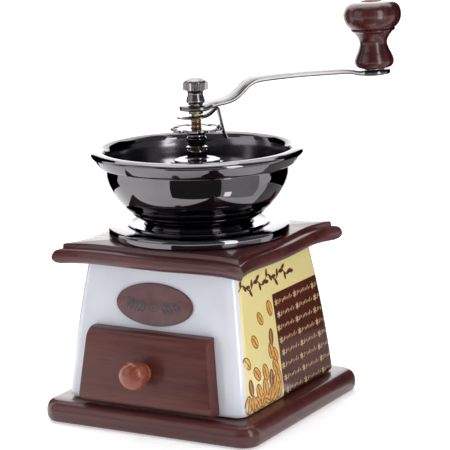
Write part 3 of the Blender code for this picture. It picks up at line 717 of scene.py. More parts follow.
outer = []
for inset, z in ((3.0, BODY_BOTTOM), (1.6, 12.5), (0.6, 13.2), (0.1, 14.4)):
    outer.append(rounded_square(wall(z) - inset, BODY_CORNER - inset, z))
outer += [rounded_square(wall(z), BODY_CORNER, z)
          for z in (15.8, 20, 26, 33, 40, 47, 54, 61, 68, 76, BODY_TOP)]
inner = [rounded_square(wall(z) - BODY_WALL, INSIDE_CORNER, z)
         for z in (BODY_TOP, 68, 54, 40, 26, BODY_BOTTOM)]
shell = to_mesh("box", skin(outer + inner, tube=True))
mouth = bmesh.new()
bmesh.ops.create_cube(mouth, size=1.0)
bmesh.ops.scale(mouth, vec=MOUTH_SIZE, verts=mouth.verts)
bmesh.ops.translate(mouth, vec=MOUTH_AT, verts=mouth.verts)
bmesh.ops.bevel(mouth, geom=[e for e in mouth.edges
                             if abs((e.verts[0].co - e.verts[1].co).normalized().y) > 0.9],
                offset=2.0, segments=5, profile=0.5, affect="EDGES")
settle("glazed_box", subtract("box", shell, to_mesh("mouth", mouth)), [glaze], "housing",
       ["ceramic_body"], 28.0)

# %% [markdown]
# ## Wooden top
# The top board is a serpentine square: each side bulges softly at its middle and flares into the
# corners, and its upper edge is an ogee with a small step.

# %% Wooden top
PLATE_HALF = 52.2
PLATE_BULGE = 1.6
PLATE_FLARE = 4.8
PLATE_HOLE = 31.0
TURN_POINT = 0.62


def serpentine(inset, z, count=44):
    """The top's outline; each side swells up to the turning point and flares past it."""
    corner = PLATE_HALF + PLATE_FLARE - inset
    points = []
    for side in range(4):
        for i in range(count):
            t = -math.cos(math.pi * i / count)
            if abs(t) < TURN_POINT:
                swell = PLATE_BULGE * math.cos(math.pi * t / (2.0 * TURN_POINT)) ** 2
            else:
                swell = PLATE_FLARE * ((abs(t) - TURN_POINT) / (1.0 - TURN_POINT)) ** 2
            point = Vector((PLATE_HALF - inset + swell, t * corner, z))
            points.append(Matrix.Rotation(side * math.pi / 2.0, 3, "Z") @ point)
    return points


ogee = flow([(3.6, 84.8), (1.2, 85.9), (0.0, 88.0), (0.3, 90.2), (1.5, 92.0), (3.9, 92.9)], 5)
step = flow([(4.5, 93.0), (4.55, 94.6), (4.9, 95.3), (5.5, 95.5)], 4)
top_rings = [serpentine(p.x, p.y) for p in ogee + step]
for z in (95.5, 84.8):
    top_rings.append([Vector((p.x, p.y, 0.0)).normalized() * PLATE_HOLE + Vector((0.0, 0.0, z))
                      for p in serpentine(6.0, z)])
settle("wooden_top", to_mesh("top", skin(top_rings, tube=True)), [stained_wood], "housing",
       ["top_plate"], 30.0)

# %% [markdown]
# ## Pressed-metal hopper
# The bowl and the ring it stands in are spun from thin sheet and plated.  Their lines carry the
# rolled rim, the swage under it and the neck; turning them with 160 segments keeps the mirror
# smooth.

# %% Hopper ring and bowl
SPIN_SEGMENTS = 160
INSIDE_FROM = 100.0 * MM
INSIDE_TO = 138.4 * MM
ring_line = (flow([(48.1, 95.8), (48.4, 96.6), (48.4, 99.5), (47.9, 100.4), (46.6, 100.8)], 5)
             + flow([(40.6, 100.8), (38.4, 101.0), (37.7, 101.7), (36.4, 101.9), (35.3, 101.3),
                     (34.0, 101.0)], 5)
             + [(29.3, 101.0), (29.3, 99.9), (46.4, 99.5), (47.2, 98.6), (47.2, 95.8)])
settle("hopper_ring", turned("ring", ring_line, SPIN_SEGMENTS, dark_nickel), [dark_nickel],
       "housing", ["hopper_base"])
bowl_line = (flow([(49.4, 139.2), (50.2, 140.6), (51.6, 141.6), (53.4, 141.7), (55.3, 141.1),
                   (56.4, 140.1), (56.55, 139.1), (55.9, 137.9), (54.4, 135.6), (53.1, 133.9),
                   (52.2, 133.4)], 5)
             + flow([(50.0, 133.2), (49.2, 132.7), (48.8, 131.0), (48.5, 127.4), (47.3, 122.9),
                     (44.6, 117.6), (41.2, 113.1), (38.4, 110.3)], 8)
             + flow([(36.8, 109.3), (36.2, 108.6), (35.4, 107.4), (32.6, 105.4), (29.8, 103.7),
                     (28.9, 102.2), (28.9, 96.5)], 6)
             + [(20.0, 96.5), (20.0, 97.5), (27.4, 97.5)]
             + flow([(27.8, 98.0), (27.9, 102.6), (31.6, 106.0), (37.0, 110.8), (40.6, 114.1),
                     (43.6, 118.2), (46.2, 123.2), (47.4, 127.4), (47.9, 131.6), (48.4, 136.0),
                     (49.0, 138.4)], 8))
bowl = turned("bowl", bowl_line, SPIN_SEGMENTS, dark_nickel)
inward = [int(face.normal.x * face.center.x + face.normal.y * face.center.y < 0.0
              and INSIDE_FROM < face.center.z < INSIDE_TO) for face in bowl.polygons]
settle("hopper_bowl_polished", bowl, [dark_nickel, satin_nickel], "housing", ["hopper_bowl"],
       40.0, kinds=inward)

# %% [markdown]
# ## Bush, washer and adjusting wheel
# The bush holds the spindle over the burrs.  The notched wheel on top of it is threaded on the
# spindle: turning it lifts the inner burr and makes the grind finer.

# %% Bush and washer
BORE_R = 3.15
bush_line = (flow([(5.0, 140.5), (5.3, 140.1), (5.3, 136.2), (5.7, 135.5), (11.6, 135.3),
                   (12.3, 134.9), (12.3, 134.2), (11.9, 134.0)], 4)
             + [(5.1, 134.0), (5.1, 127.0), (BORE_R, 127.0), (BORE_R, 140.5)])
settle("bush_flange", turned("bush_flange", bush_line, 72, dark_nickel), [dark_nickel],
       "housing", ["bush"])
thrust_line = [(5.45, 141.9), (5.6, 141.75), (5.6, 141.05), (5.45, 140.9), (BORE_R, 140.9),
               (BORE_R, 141.9)]
settle("thrust_ring", turned("thrust_ring", thrust_line, 64, dull_nickel), [dull_nickel],
       "wheel", ["thrust_washer"])

# %% Notched wheel
WHEEL_Z = 150.5
WHEEL_R = 13.8
NOTCHES = 8
NOTCH_DEPTH = 2.0
NOTCH_HALF_SHARE = 0.175
WHEEL_POINTS = 320
CRANK_AZIMUTH = math.radians(45.0)


def notched_ring(radius, z):
    """A ring with round-shouldered notches, one of them under the crank."""
    ring = []
    for i in range(WHEEL_POINTS):
        angle = 2.0 * math.pi * i / WHEEL_POINTS
        phase = ((angle - CRANK_AZIMUTH) * NOTCHES / (2.0 * math.pi) + 0.5) % 1.0 - 0.5
        notch = 1.0 / (1.0 + (abs(phase) / NOTCH_HALF_SHARE) ** 6)
        reach = radius - NOTCH_DEPTH * notch
        ring.append(Vector((reach * math.cos(angle), reach * math.sin(angle), z)))
    return ring


hub = flow([(4.2, 142.3), (4.6, 142.6), (4.7, 144.4), (5.0, 145.7), (5.2, 146.3), (4.9, 146.9),
            (4.5, 147.5), (4.6, 149.4), (5.4, 150.4)], 4)
wheel_edge = [(1.5, 0.0), (0.6, 0.12), (0.1, 0.25), (0.0, 0.4), (0.0, 1.3), (0.15, 1.52),
              (0.6, 1.6), (1.3, 1.1)]
wheel_rings = [circle(p.x, p.y, WHEEL_POINTS) for p in hub]
wheel_rings += [notched_ring(WHEEL_R - inset, WHEEL_Z + up) for inset, up in wheel_edge]
wheel_rings += [circle(radius, z, WHEEL_POINTS)
                for radius, z in ((9.0, WHEEL_Z + 1.0), (BORE_R, WHEEL_Z + 1.0), (BORE_R, 142.3))]
settle("notched_wheel", to_mesh("wheel", skin(wheel_rings, tube=True)), [dark_nickel], "wheel",
       ["adjusting_wheel"])

# %% [markdown]
# ## Threaded spindle
# An M6 spindle.  The thread is a V-shaped rib swept along a spiral, laid over a plain core, which
# is how a thread is drawn when nothing has to screw onto it.  Above it four flats are milled for
# the leaf and the crank.

# %% Spindle
THREAD_PITCH = 1.0
THREAD_FROM = 142.6
THREAD_LENGTH = 14.4
SHAFT_R = 2.85
SQUARE_HALF = 2.1


def make_thread_tree():
    tree = Tree("thread", [("Pitch", "Float", 1.0 * MM), ("Length", "Float", 14.0 * MM),
                           ("Root Radius", "Float", 2.45 * MM), ("Finish", "Material", None)])
    turns = tree.math("DIVIDE", tree.given["Length"], tree.given["Pitch"])
    root = tree.given["Root Radius"]
    path = tree.node("GeometryNodeCurveSpiral",
                     {"Resolution": 40, "Rotations": turns, "Start Radius": root,
                      "End Radius": root, "Height": tree.given["Length"]})
    rib = tree.node("GeometryNodeCurvePrimitiveCircle",
                    {"Resolution": 4, "Radius": tree.math("MULTIPLY", tree.given["Pitch"], 0.42)})
    swept = tree.node("GeometryNodeCurveToMesh", {0: path.outputs[0], 1: rib.outputs[0],
                                                  "Fill Caps": True})
    tree.end(tree.join(tree.given["Geometry"], swept.outputs[0]), tree.given["Finish"])
    return tree


thread_tree = make_thread_tree()
core = turned("core", [(0.05, 142.4), (2.5, 142.4), (2.5, 157.2), (0.05, 157.2)], 32,
              thread_metal)
core.transform(Matrix.Translation((0.0, 0.0, -THREAD_FROM * MM)))
thread = thread_tree.run("thread", core, Pitch=THREAD_PITCH * MM, Length=THREAD_LENGTH * MM,
                         Finish=thread_metal)
thread.transform(Matrix.Translation((0.0, 0.0, THREAD_FROM * MM)))
settle("spindle_thread", thread, [thread_metal], "spindle", [], 30.0)


def flats(z, count=48):
    """The shaft's section where four flats are milled on it, in line with the crank."""
    ring = []
    for i in range(count):
        angle = 2.0 * math.pi * i / count
        reach = min(SHAFT_R, SQUARE_HALF / max(abs(math.cos(angle)), abs(math.sin(angle))))
        ring.append(Vector((reach * math.cos(angle + CRANK_AZIMUTH),
                            reach * math.sin(angle + CRANK_AZIMUTH), z)))
    return ring


def round_parts(*line):
    return [circle(radius, z, 48, CRANK_AZIMUTH) for radius, z in line]


shaft_rings = round_parts((1.9, 73.0), (2.3, 73.5), (2.3, 81.4), (SHAFT_R, 81.4), (SHAFT_R, 96.6),
                          (4.4, 96.6), (4.4, 98.4), (SHAFT_R, 98.4), (SHAFT_R, THREAD_FROM),
                          (2.4, 142.9), (2.4, 156.9), (2.8, 157.2))
shaft_rings += [flats(157.3), flats(165.0)]
shaft_rings += round_parts((2.05, 165.0), (2.05, 174.3), (1.7, 174.6))
settle("spindle_shaft", to_mesh("shaft", skin(shaft_rings)), [yellow_zinc], "spindle",
       ["spindle"])

# %% [markdown]
# ## Crank, stopper leaf and thumb nut
# The crank is flat bar, bent twice and rounded at both ends.  The leaf under it is spring steel:
# its finger reaches down into a notch of the wheel, so that the setting can't creep.

# %% Bent strips
CRANK_RADIUS = 100.3
HANDLE_LEAN = math.radians(2.0)
EYE_TOP = 163.7
PAD_TOP = 176.9
EYE_R = 8.7
PAD_R = 8.4
STRAP_HALF = 6.4
STRAP_TAPER = 1.2
END_HALF = 0.25


def bent_strip(stations, thickness, edge):
    """Flat bar with eased edges along (s, z of its top, half width) stations."""
    rings = []
    for i, (s, z, half) in enumerate(stations):
        before = stations[max(i - 1, 0)]
        after = stations[min(i + 1, len(stations) - 1)]
        slope = Vector((after[0] - before[0], 0.0, after[1] - before[1])).normalized()
        down = Vector((slope.z, 0.0, -slope.x))
        top = Vector((s, 0.0, z))
        ease = min(edge, half * 0.45)
        section = [(-half + ease, 0.0), (half - ease, 0.0), (half - ease * 0.3, ease * 0.3),
                   (half, ease), (half, thickness - ease),
                   (half - ease * 0.3, thickness - ease * 0.3), (half - ease, thickness),
                   (-half + ease, thickness), (-half + ease * 0.3, thickness - ease * 0.3),
                   (-half, thickness - ease), (-half, ease), (-half + ease * 0.3, ease * 0.3)]
        rings.append([top + Vector((0.0, w, 0.0)) + down * d for w, d in section])
    return skin(rings)


def to_crank(builder):
    """Turn what was built along X to where the crank points at rest."""
    bmesh.ops.rotate(builder, cent=(0, 0, 0), matrix=Matrix.Rotation(CRANK_AZIMUTH, 3, "Z"),
                     verts=builder.verts)
    return builder


def height_at(line, s):
    """The height of a line of (s, z) points at s."""
    s = min(max(s, line[0].x), line[-1].x)
    for a, b in zip(line, line[1:]):
        if a.x <= s <= b.x:
            return a.y + (b.y - a.y) * (s - a.x) / max(b.x - a.x, 1e-9)
    return line[-1].y


# %% [markdown]
# The arm starts flat at its eye, climbs in an S to a long shallow arc, and ends in a round pad
# that leans with the handle.  Its width follows from three shapes laid over each other.

# %% Crank arm
rise = math.tan(HANDLE_LEAN)
arm_line = flow([(-EYE_R, EYE_TOP), (0.0, EYE_TOP), (3.5, EYE_TOP + 0.1), (5.9, 164.4),
                 (10.0, 165.4), (14.5, 166.1), (18.0, 167.0), (20.5, 168.3), (23.0, 170.3),
                 (27.0, 174.0), (29.0, 175.3), (31.5, 176.3), (35.0, 176.9), (45.0, 177.6),
                 (60.0, 178.1), (75.0, 178.2), (85.0, 178.0),
                 (91.9, PAD_TOP + rise * (91.9 - CRANK_RADIUS)),
                 (108.7, PAD_TOP + rise * (108.7 - CRANK_RADIUS))], 6)


def arm_half(s):
    """Half the arm's width: a round eye, a strap that narrows outwards, and a round pad."""
    strap = STRAP_HALF - STRAP_TAPER * s / CRANK_RADIUS
    at_eye = math.sqrt(max(EYE_R ** 2 - s * s, 0.0))
    at_pad = math.sqrt(max(PAD_R ** 2 - (s - CRANK_RADIUS) ** 2, 0.0))
    if s < 0.0:
        return max(at_eye, END_HALF)
    if s > CRANK_RADIUS:
        return max(at_pad, END_HALF)
    return (strap ** 8 + at_eye ** 8 + at_pad ** 8) ** 0.125


places = [-EYE_R * math.cos(math.pi * i / 24) for i in range(16)]
places += [p.x for p in arm_line if 4.0 < p.x < CRANK_RADIUS - PAD_R - 1.0]
places += [CRANK_RADIUS - PAD_R * math.cos(math.pi * i / 24) for i in range(25)]
arm_stations = [(s, height_at(arm_line, s), arm_half(s)) for s in places]
settle("crank_bar", to_mesh("crank", to_crank(bent_strip(arm_stations, 2.2, 0.45))),
       [bright_nickel], "spindle", ["crank_arm"], 40.0)

# %% [markdown]
# The leaf is thinner stock: a broad pad under the crank's eye, a bend, and the finger, with the
# tooth that engages the wheel as a small eased block on it.

# %% Stopper leaf
TOOTH_SIZE = (2.3, 2.6, 3.5)
TOOTH_AT = (13.45, 0.0, 151.15)
leaf_line = flow([(-10.2, 158.2, 0.5), (-10.0, 158.2, 1.8), (-9.4, 158.2, 3.7),
                  (-8.0, 158.2, 6.2), (-5.0, 158.3, 8.5), (0.0, 158.5, 9.6), (4.0, 159.0, 8.4),
                  (7.0, 160.0, 6.2), (9.4, 161.4, 4.3), (10.9, 162.3, 3.6), (11.6, 162.5, 3.4),
                  (12.2, 162.0, 3.2), (12.6, 160.8, 3.0), (14.5, 152.6, 2.9), (15.4, 149.2, 3.0),
                  (16.8, 145.2, 3.5)], 6)
leaf = to_crank(bent_strip([tuple(p) for p in leaf_line], 0.8, 0.2))
tooth = bmesh.new()
bmesh.ops.create_cube(tooth, size=1.0)
bmesh.ops.scale(tooth, vec=TOOTH_SIZE, verts=tooth.verts)
bmesh.ops.translate(tooth, vec=TOOTH_AT, verts=tooth.verts)
bmesh.ops.bevel(tooth, geom=tooth.edges[:], offset=0.3, segments=2, affect="EDGES")
settle("leaf_stopper", to_mesh("leaf", together([leaf, to_crank(tooth)])), [dull_nickel],
       "spindle", ["stopper_leaf"], 40.0)

# %% [markdown]
# ### Knurled thumb nut
# The nut's body is turned.  Its knurl is one small upright ridge repeated round the head, which
# is what a node tree is for: the count and the radius are named inputs.

# %% Thumb nut
def make_knurl_tree():
    tree = Tree("knurl", [("Ridges", "Int", 40), ("Radius", "Float", 6.2 * MM),
                          ("Height", "Float", 4.0 * MM), ("Width", "Float", 0.62 * MM),
                          ("Level", "Float", 174.2 * MM), ("Finish", "Material", None)])
    circle = tree.node("GeometryNodeMeshCircle", {"Vertices": tree.given["Ridges"],
                                                  "Radius": tree.given["Radius"]})
    lift = tree.node("ShaderNodeCombineXYZ", {2: tree.given["Level"]})
    raised = tree.node("GeometryNodeSetPosition", {0: circle.outputs[0], "Offset": lift.outputs[0]})
    width = tree.given["Width"]
    size = tree.node("ShaderNodeCombineXYZ", {0: width, 1: width, 2: tree.given["Height"]})
    ridge = tree.node("GeometryNodeMeshCube", {"Size": size.outputs[0], "Vertices X": 2,
                                               "Vertices Y": 2, "Vertices Z": 2})
    eighth_turn = (0.0, 0.0, math.radians(45.0))
    corner_out = tree.node("GeometryNodeTransform", {0: ridge.outputs[0],
                                                     "Rotation": eighth_turn})
    position = tree.node("GeometryNodeInputPosition").outputs[0]
    here = tree.node("ShaderNodeSeparateXYZ", {0: position})
    angle = tree.math("ARCTAN2", here.outputs[1], here.outputs[0])
    spin = tree.node("ShaderNodeCombineXYZ", {2: angle})
    ridges = tree.node("GeometryNodeInstanceOnPoints",
                       {"Points": raised.outputs[0], "Instance": corner_out.outputs[0],
                        "Rotation": spin.outputs[0]})
    tree.end(tree.join(tree.given["Geometry"], ridges.outputs[0]), tree.given["Finish"])
    return tree


knurl_tree = make_knurl_tree()
nut_line = (flow([(4.3, 165.1), (4.8, 165.5), (4.95, 166.4), (4.7, 167.8), (4.15, 169.4),
                  (4.15, 170.6), (4.7, 171.7), (5.6, 172.0)], 5)
            + flow([(5.9, 172.3), (6.0, 173.0), (6.0, 175.8), (5.9, 176.4)], 3)
            + flow([(5.3, 177.1), (4.0, 177.9), (2.2, 178.5), (0.05, 178.65)], 4))
nut = turned("nut", nut_line + [(0.05, 165.1)], 64, dull_nickel)
nut = knurl_tree.run("knurl", nut, Finish=dull_nickel, Ridges=42, Height=3.9 * MM)
settle("knurled_nut", nut, [dull_nickel], "spindle", ["thumb_nut"], 30.0)

# %% [markdown]
# ## Handle
# A turned wooden knob that spins on a rivet.  Its axis leans two degrees with the crank's end, so
# it is turned upright and then set on that axis.  The well for the rivet's head shows bare wood.

# %% Handle
RIVET_WELL_R = 5.45
ALONG = Vector((math.cos(CRANK_AZIMUTH), math.sin(CRANK_AZIMUTH), 0.0))
handle_axis = Vector((0.0, 0.0, 1.0)) * math.cos(HANDLE_LEAN) - ALONG * math.sin(HANDLE_LEAN)
on_pad = (Matrix.Translation((ALONG * CRANK_RADIUS + Vector((0.0, 0.0, PAD_TOP))) * MM)
          @ Vector((0.0, 0.0, 1.0)).rotation_difference(handle_axis).to_matrix().to_4x4())
handle_line = (flow([(6.8, 1.2), (8.6, 1.4), (9.8, 2.2), (10.5, 3.8), (10.5, 5.6), (9.7, 8.0),
                     (8.4, 10.8), (7.5, 13.6), (7.5, 15.6), (8.5, 17.9), (10.3, 20.2)], 6)
               + flow([(11.3, 21.0), (12.0, 21.5), (12.0, 22.0), (11.6, 22.3)], 4)
               + flow([(12.0, 22.6), (13.3, 23.8), (14.7, 25.9), (15.4, 28.3), (15.5, 30.2),
                       (15.0, 32.8), (13.6, 34.9), (11.4, 36.2), (8.6, 36.8), (5.9, 36.9),
                       (5.4, 36.6)], 6)
               + [(5.3, 36.2), (5.3, 29.0), (2.9, 29.0), (2.9, 1.2)])
knob_mesh = turned("handle", handle_line, 96, handle_wood, on_pad)
from_axis = [(on_pad.inverted() @ face.center).xy.length for face in knob_mesh.polygons]
settle("crank_handle", knob_mesh, [handle_wood, bare_wood], "handle", ["handle_knob"],
       35.0, kinds=[int(away < RIVET_WELL_R * MM) for away in from_axis])
rivet_line = (flow([(3.2, -3.1), (3.9, -2.75), (3.9, -2.6)], 3)
              + [(2.5, -2.6), (2.5, 29.4), (4.4, 29.4)]
              + flow([(4.4, 30.4), (3.8, 31.1), (2.0, 31.4), (0.05, 31.4)], 4) + [(0.05, -3.1)])
settle("handle_rivet", turned("rivet", rivet_line, 48, bright_nickel, on_pad), [bright_nickel],
       "spindle", ["handle_pin"])
washer_line = [(5.45, 0.9), (5.6, 0.75), (5.6, 0.45), (5.45, 0.3), (2.9, 0.3), (2.9, 0.9)]
settle("handle_ring", turned("handle_ring", washer_line, 48, bright_nickel, on_pad),
       [bright_nickel], "spindle", ["handle_washer"])

# %% [markdown]
# ## Drawer
# The front board is stained and has a broad rounded edge all round.  It leans with the ceramic
# wall that it covers.  The box behind it is bare wood, glued from plain boards.

# %% Drawer front
FRONT_LOW = 13.9
FRONT_HIGH = 53.3
FRONT_THICK = 9.0
FRONT_EDGE = 5.0
HALF_AT_LOW = 40.3
HALF_AT_HIGH = 35.6
PULL_Z = 33.6


def board_face(z):
    """How far the board's back is from the spindle at height z, a hair off the ceramic."""
    return wall(z) + 0.5


drawer_rings = []
quarter = [(FRONT_EDGE * (1 - math.cos(a)), FRONT_EDGE * math.sin(a))
           for a in (math.pi / 2.0 * i / 8 for i in range(9))]
profile = [(FRONT_LOW + rise_by, reach) for rise_by, reach in quarter]
profile += [(z, FRONT_EDGE) for z in (24.0, 30.0, 36.0, 42.0)]
profile += [(FRONT_HIGH - rise_by, reach) for rise_by, reach in reversed(quarter)]
for z, reach in profile:
    share = (z - FRONT_LOW) / (FRONT_HIGH - FRONT_LOW)
    half = HALF_AT_LOW + (HALF_AT_HIGH - HALF_AT_LOW) * share
    back = -board_face(z)
    deep = FRONT_THICK - FRONT_EDGE + reach
    side = [(half, 0.0), (half, deep - 1.2), (half - 0.35, deep - 0.35), (half - 1.2, deep)]
    ring = [Vector((x, back - d, z)) for x, d in side]
    ring += [Vector((-x, back - d, z)) for x, d in reversed(side)]
    drawer_rings.append(ring)
settle("drawer_face", to_mesh("drawer_face", skin(drawer_rings)), [drawer_wood], "drawer",
       ["drawer_front"], 35.0)

# %% [markdown]
# The pull is turned like the handle, from a redder and lighter wood, and stands square to the
# leaning board.

# %% Drawer pull
tilt = math.atan((wall(20.0) - wall(48.0)) / 28.0)
on_board = (Matrix.Translation(Vector((0.0, -board_face(PULL_Z) - FRONT_THICK, PULL_Z)) * MM)
            @ Matrix.Rotation(math.radians(90.0) - tilt, 4, "X"))
pull_line = (flow([(4.9, 0.3), (5.2, 0.9), (5.0, 1.7), (4.5, 2.6), (4.4, 3.5), (5.2, 4.5),
                   (6.6, 5.7), (7.5, 7.6), (7.75, 9.8), (7.4, 12.0), (6.4, 14.0), (5.0, 15.4),
                   (3.2, 16.4), (1.4, 16.9), (0.05, 17.0)], 6)
             + [(0.05, 10.0), (1.9, 10.0), (1.9, 0.3)])
settle("drawer_pull", turned("pull", pull_line, 72, pull_wood, on_board), [pull_wood], "drawer",
       ["drawer_knob"])

# %% [markdown]
# ## Plain working parts
# What the CAD already gives the right shape is copied, merged into a whole mesh, and gets the
# small eased edges that sawn wood and cut steel have.  Its finish comes with it.

# %% Eased copies of CAD nodes
def eased(name, node, body, finish, ease):
    """The CAD node's own shape with its sharp edges rounded by ease millimetres."""
    builder = bmesh.new()
    builder.from_mesh(frame["nodes"][node].data)
    bmesh.ops.remove_doubles(builder, verts=builder.verts, dist=1e-6)
    bmesh.ops.dissolve_limit(builder, angle_limit=math.radians(1.0), verts=builder.verts,
                             edges=builder.edges)
    if ease:
        sharp = [e for e in builder.edges
                 if len(e.link_faces) == 2 and e.calc_face_angle(0.0) > math.radians(40.0)]
        bmesh.ops.bevel(builder, geom=sharp, offset=ease * MM, segments=2, affect="EDGES",
                        clamp_overlap=True)
    bmesh.ops.recalc_face_normals(builder, faces=builder.faces)
    mesh = bpy.data.meshes.new(name)
    builder.to_mesh(mesh)
    builder.free()
    return settle(name, mesh, [finish], body, [node])


working_parts = [
    ("drawer_board_left", "drawer_side_left", "drawer", bare_wood, "plain_wood", 0.3),
    ("drawer_board_right", "drawer_side_right", "drawer", bare_wood, "plain_wood", 0.3),
    ("drawer_board_back", "drawer_back", "drawer", bare_wood, "plain_wood", 0.3),
    ("drawer_board_floor", "drawer_floor", "drawer", bare_wood, "plain_wood", 0.2),
    ("runner_left", "drawer_runner_left", "housing", bare_wood, "plain_wood", 0.4),
    ("runner_right", "drawer_runner_right", "housing", bare_wood, "plain_wood", 0.4),
    ("bridge_strap", "bridge", "housing", dark_nickel, "black_nickel", 0.3),
    ("bush_locknut", "bush_nut", "housing", dull_nickel, "nickel", 0.2),
    ("burr_locknut", "burr_nut", "spindle", yellow_zinc, "yellow_zinc", 0.25),
]
for name, node, body, finish, slot, ease in working_parts:
    eased(name, node, body, finish, ease)

# %% [markdown]
# The burrs, screws and small steel parts stay as the CAD gives them, for little or nothing of
# them can be seen.  They only get their finishes.

# %% Finishes on the CAD nodes that stay
kept = {"cast iron": (["burr_carrier", "outer_burr", "inner_burr"], cast_iron),
        "yellow zinc": (["tie_screw_1", "tie_screw_2", "tie_screw_3", "tie_screw_4",
                         "carrier_screw_1", "carrier_screw_2", "carrier_screw_3", "burr_washer",
                         "spring_seat", "drawer_knob_screw"], yellow_zinc),
        # The crank's spacer and washer take zinc darkened with painted shade, for the shadow under
        # the nut.
        "zinc with painted shade": (["crank_spacer", "crank_washer"], painted_shade_zinc),
        "bright nickel": (["bridge_screw_1", "bridge_screw_2"], bright_nickel),
        "spring steel": (["burr_spring"], spring_steel)}
for finish_name, (nodes, finish) in kept.items():
    for node in nodes:
        data = frame["nodes"][node].data
        data.materials.clear()
        data.materials.append(finish)
    print(finish_name, "on", ", ".join(nodes))

# %% [markdown]
# ## Printed decoration
# The print is made of one kind of mark: a flat ellipse, with or without an outline and a crease.
# Marks are laid out flat, with x as their lift off the wall, and one node tree stamps them all:
# coffee beans, leaves of a vine and the sprigs on the brown panel.  The flat print is then wrapped
# on the leaning wall, as a transfer is on the real box.


# %% Stamp tree
def make_stamp_tree():
    tree = Tree("stamp", [("Plain", "Bool", False), ("Width", "Float", 0.64),
                          ("Rim", "Material", None), ("Fill", "Material", None),
                          ("Crease", "Material", None)])

    def disc(length, width, side, lift, material):
        flat = tree.node("GeometryNodeMeshCircle", {"Vertices": 18, "Radius": 1.0},
                         fill_type="NGON")
        size = tree.node("ShaderNodeCombineXYZ", {0: length, 1: width, 2: 1.0})
        placed = tree.node("GeometryNodeTransform",
                           {0: flat.outputs[0], "Translation": (lift, side, 0.0),
                            "Rotation": (0.0, math.pi / 2.0, 0.0), "Scale": size.outputs[0]})
        return tree.node("GeometryNodeSetMaterial", {0: placed.outputs[0],
                                                     "Material": material}).outputs[0]

    width = tree.given["Width"]
    rim = disc(1.0, width, 0.0, 0.0, tree.given["Rim"])
    fill = disc(0.88, tree.math("SUBTRACT", width, 0.13), 0.0, 0.006, tree.given["Fill"])
    crease = disc(0.86, 0.075, -0.04, 0.012, tree.given["Crease"])
    motif = tree.node("GeometryNodeSwitch", {"Switch": tree.given["Plain"],
                                             "False": tree.join(rim, fill, crease), "True": rim},
                      input_type="GEOMETRY").outputs[0]
    tilt = tree.node("GeometryNodeInputNamedAttribute", {"Name": "tilt"}, data_type="FLOAT")
    size = tree.node("GeometryNodeInputNamedAttribute", {"Name": "size"}, data_type="FLOAT")
    turn = tree.node("ShaderNodeCombineXYZ", {0: tilt.outputs[0]})
    marks = tree.node("GeometryNodeInstanceOnPoints",
                      {"Points": tree.given["Geometry"], "Instance": motif,
                       "Rotation": turn.outputs[0], "Scale": size.outputs[0]})
    real = tree.node("GeometryNodeRealizeInstances", {0: marks.outputs[0]})
    tree.wire(real.outputs[0], tree.result)
    return tree


stamp_tree = make_stamp_tree()
MARK_STEP = 0.00004


def stamp(name, marks, rim, fill=None, crease=None, width=0.64):
    """Flat marks in metres from (along, up, degrees of tilt, half length) rows in millimetres.
    Each mark lies a hair above the one before it, so that marks may overlap."""
    points = [(i * MARK_STEP * MM, mark[0] * MM, mark[1] * MM) for i, mark in enumerate(marks)]
    mesh = bpy.data.meshes.new(name + "_points")
    mesh.from_pydata(points, [], [])
    for label, values in (("tilt", [math.radians(mark[2]) for mark in marks]),
                          ("size", [mark[3] * MM for mark in marks])):
        mesh.attributes.new(label, "FLOAT", "POINT").data.foreach_set("value", values)
    return stamp_tree.run(name, mesh, Plain=fill is None, Width=width, Rim=rim, Fill=fill or rim,
                          Crease=crease or rim)


def wrapped(builder, lift):
    """Bend a flat print on the +X wall and its rounded corners, lift millimetres off the glaze."""
    for vertex in builder.verts:
        off, along, up = vertex.co
        half = wall(up / MM) * MM
        past = max(abs(along) - (half - BODY_CORNER * MM), 0.0)
        drop = BODY_CORNER * MM - math.sqrt(max((BODY_CORNER * MM) ** 2 - past ** 2, 0.0))
        vertex.co.x = half - drop + lift * MM + off
    return builder


def gathered(meshes, finishes):
    """One builder with all the meshes, whose faces number their finish in the list given."""
    builder = bmesh.new()
    for mesh in meshes:
        start = len(builder.faces)
        builder.from_mesh(mesh)
        builder.faces.ensure_lookup_table()
        for face in builder.faces[start:]:
            face.material_index = finishes.index(mesh.materials[face.material_index])
    return builder


def settle_print(name, builder, finishes):
    """Make a piece of a print that is already in its place in metres."""
    kinds = [face.material_index for face in builder.faces]
    mesh = bpy.data.meshes.new(name)
    builder.to_mesh(mesh)
    builder.free()
    settle(name, mesh, finishes, "housing", [], kinds=kinds)


def print_on_sides(name, meshes, finishes, lift):
    """Wrap the meshes on both printed walls as one piece; the far wall is turned half round."""
    builder = wrapped(gathered(meshes, finishes), lift)
    copy = bmesh.ops.duplicate(builder, geom=builder.verts[:] + builder.edges[:] + builder.faces[:])
    bmesh.ops.rotate(builder, cent=(0, 0, 0), matrix=Matrix.Rotation(math.pi, 3, "Z"),
                     verts=[part for part in copy["geom"] if isinstance(part, bmesh.types.BMVert)])
    settle_print(name, builder, finishes)


# %% [markdown]
# On the cream ground a few beans fall on a pile of others.  Each row of the tables is one bean:
# its place along the side, its height, its tilt in degrees, and half its length.

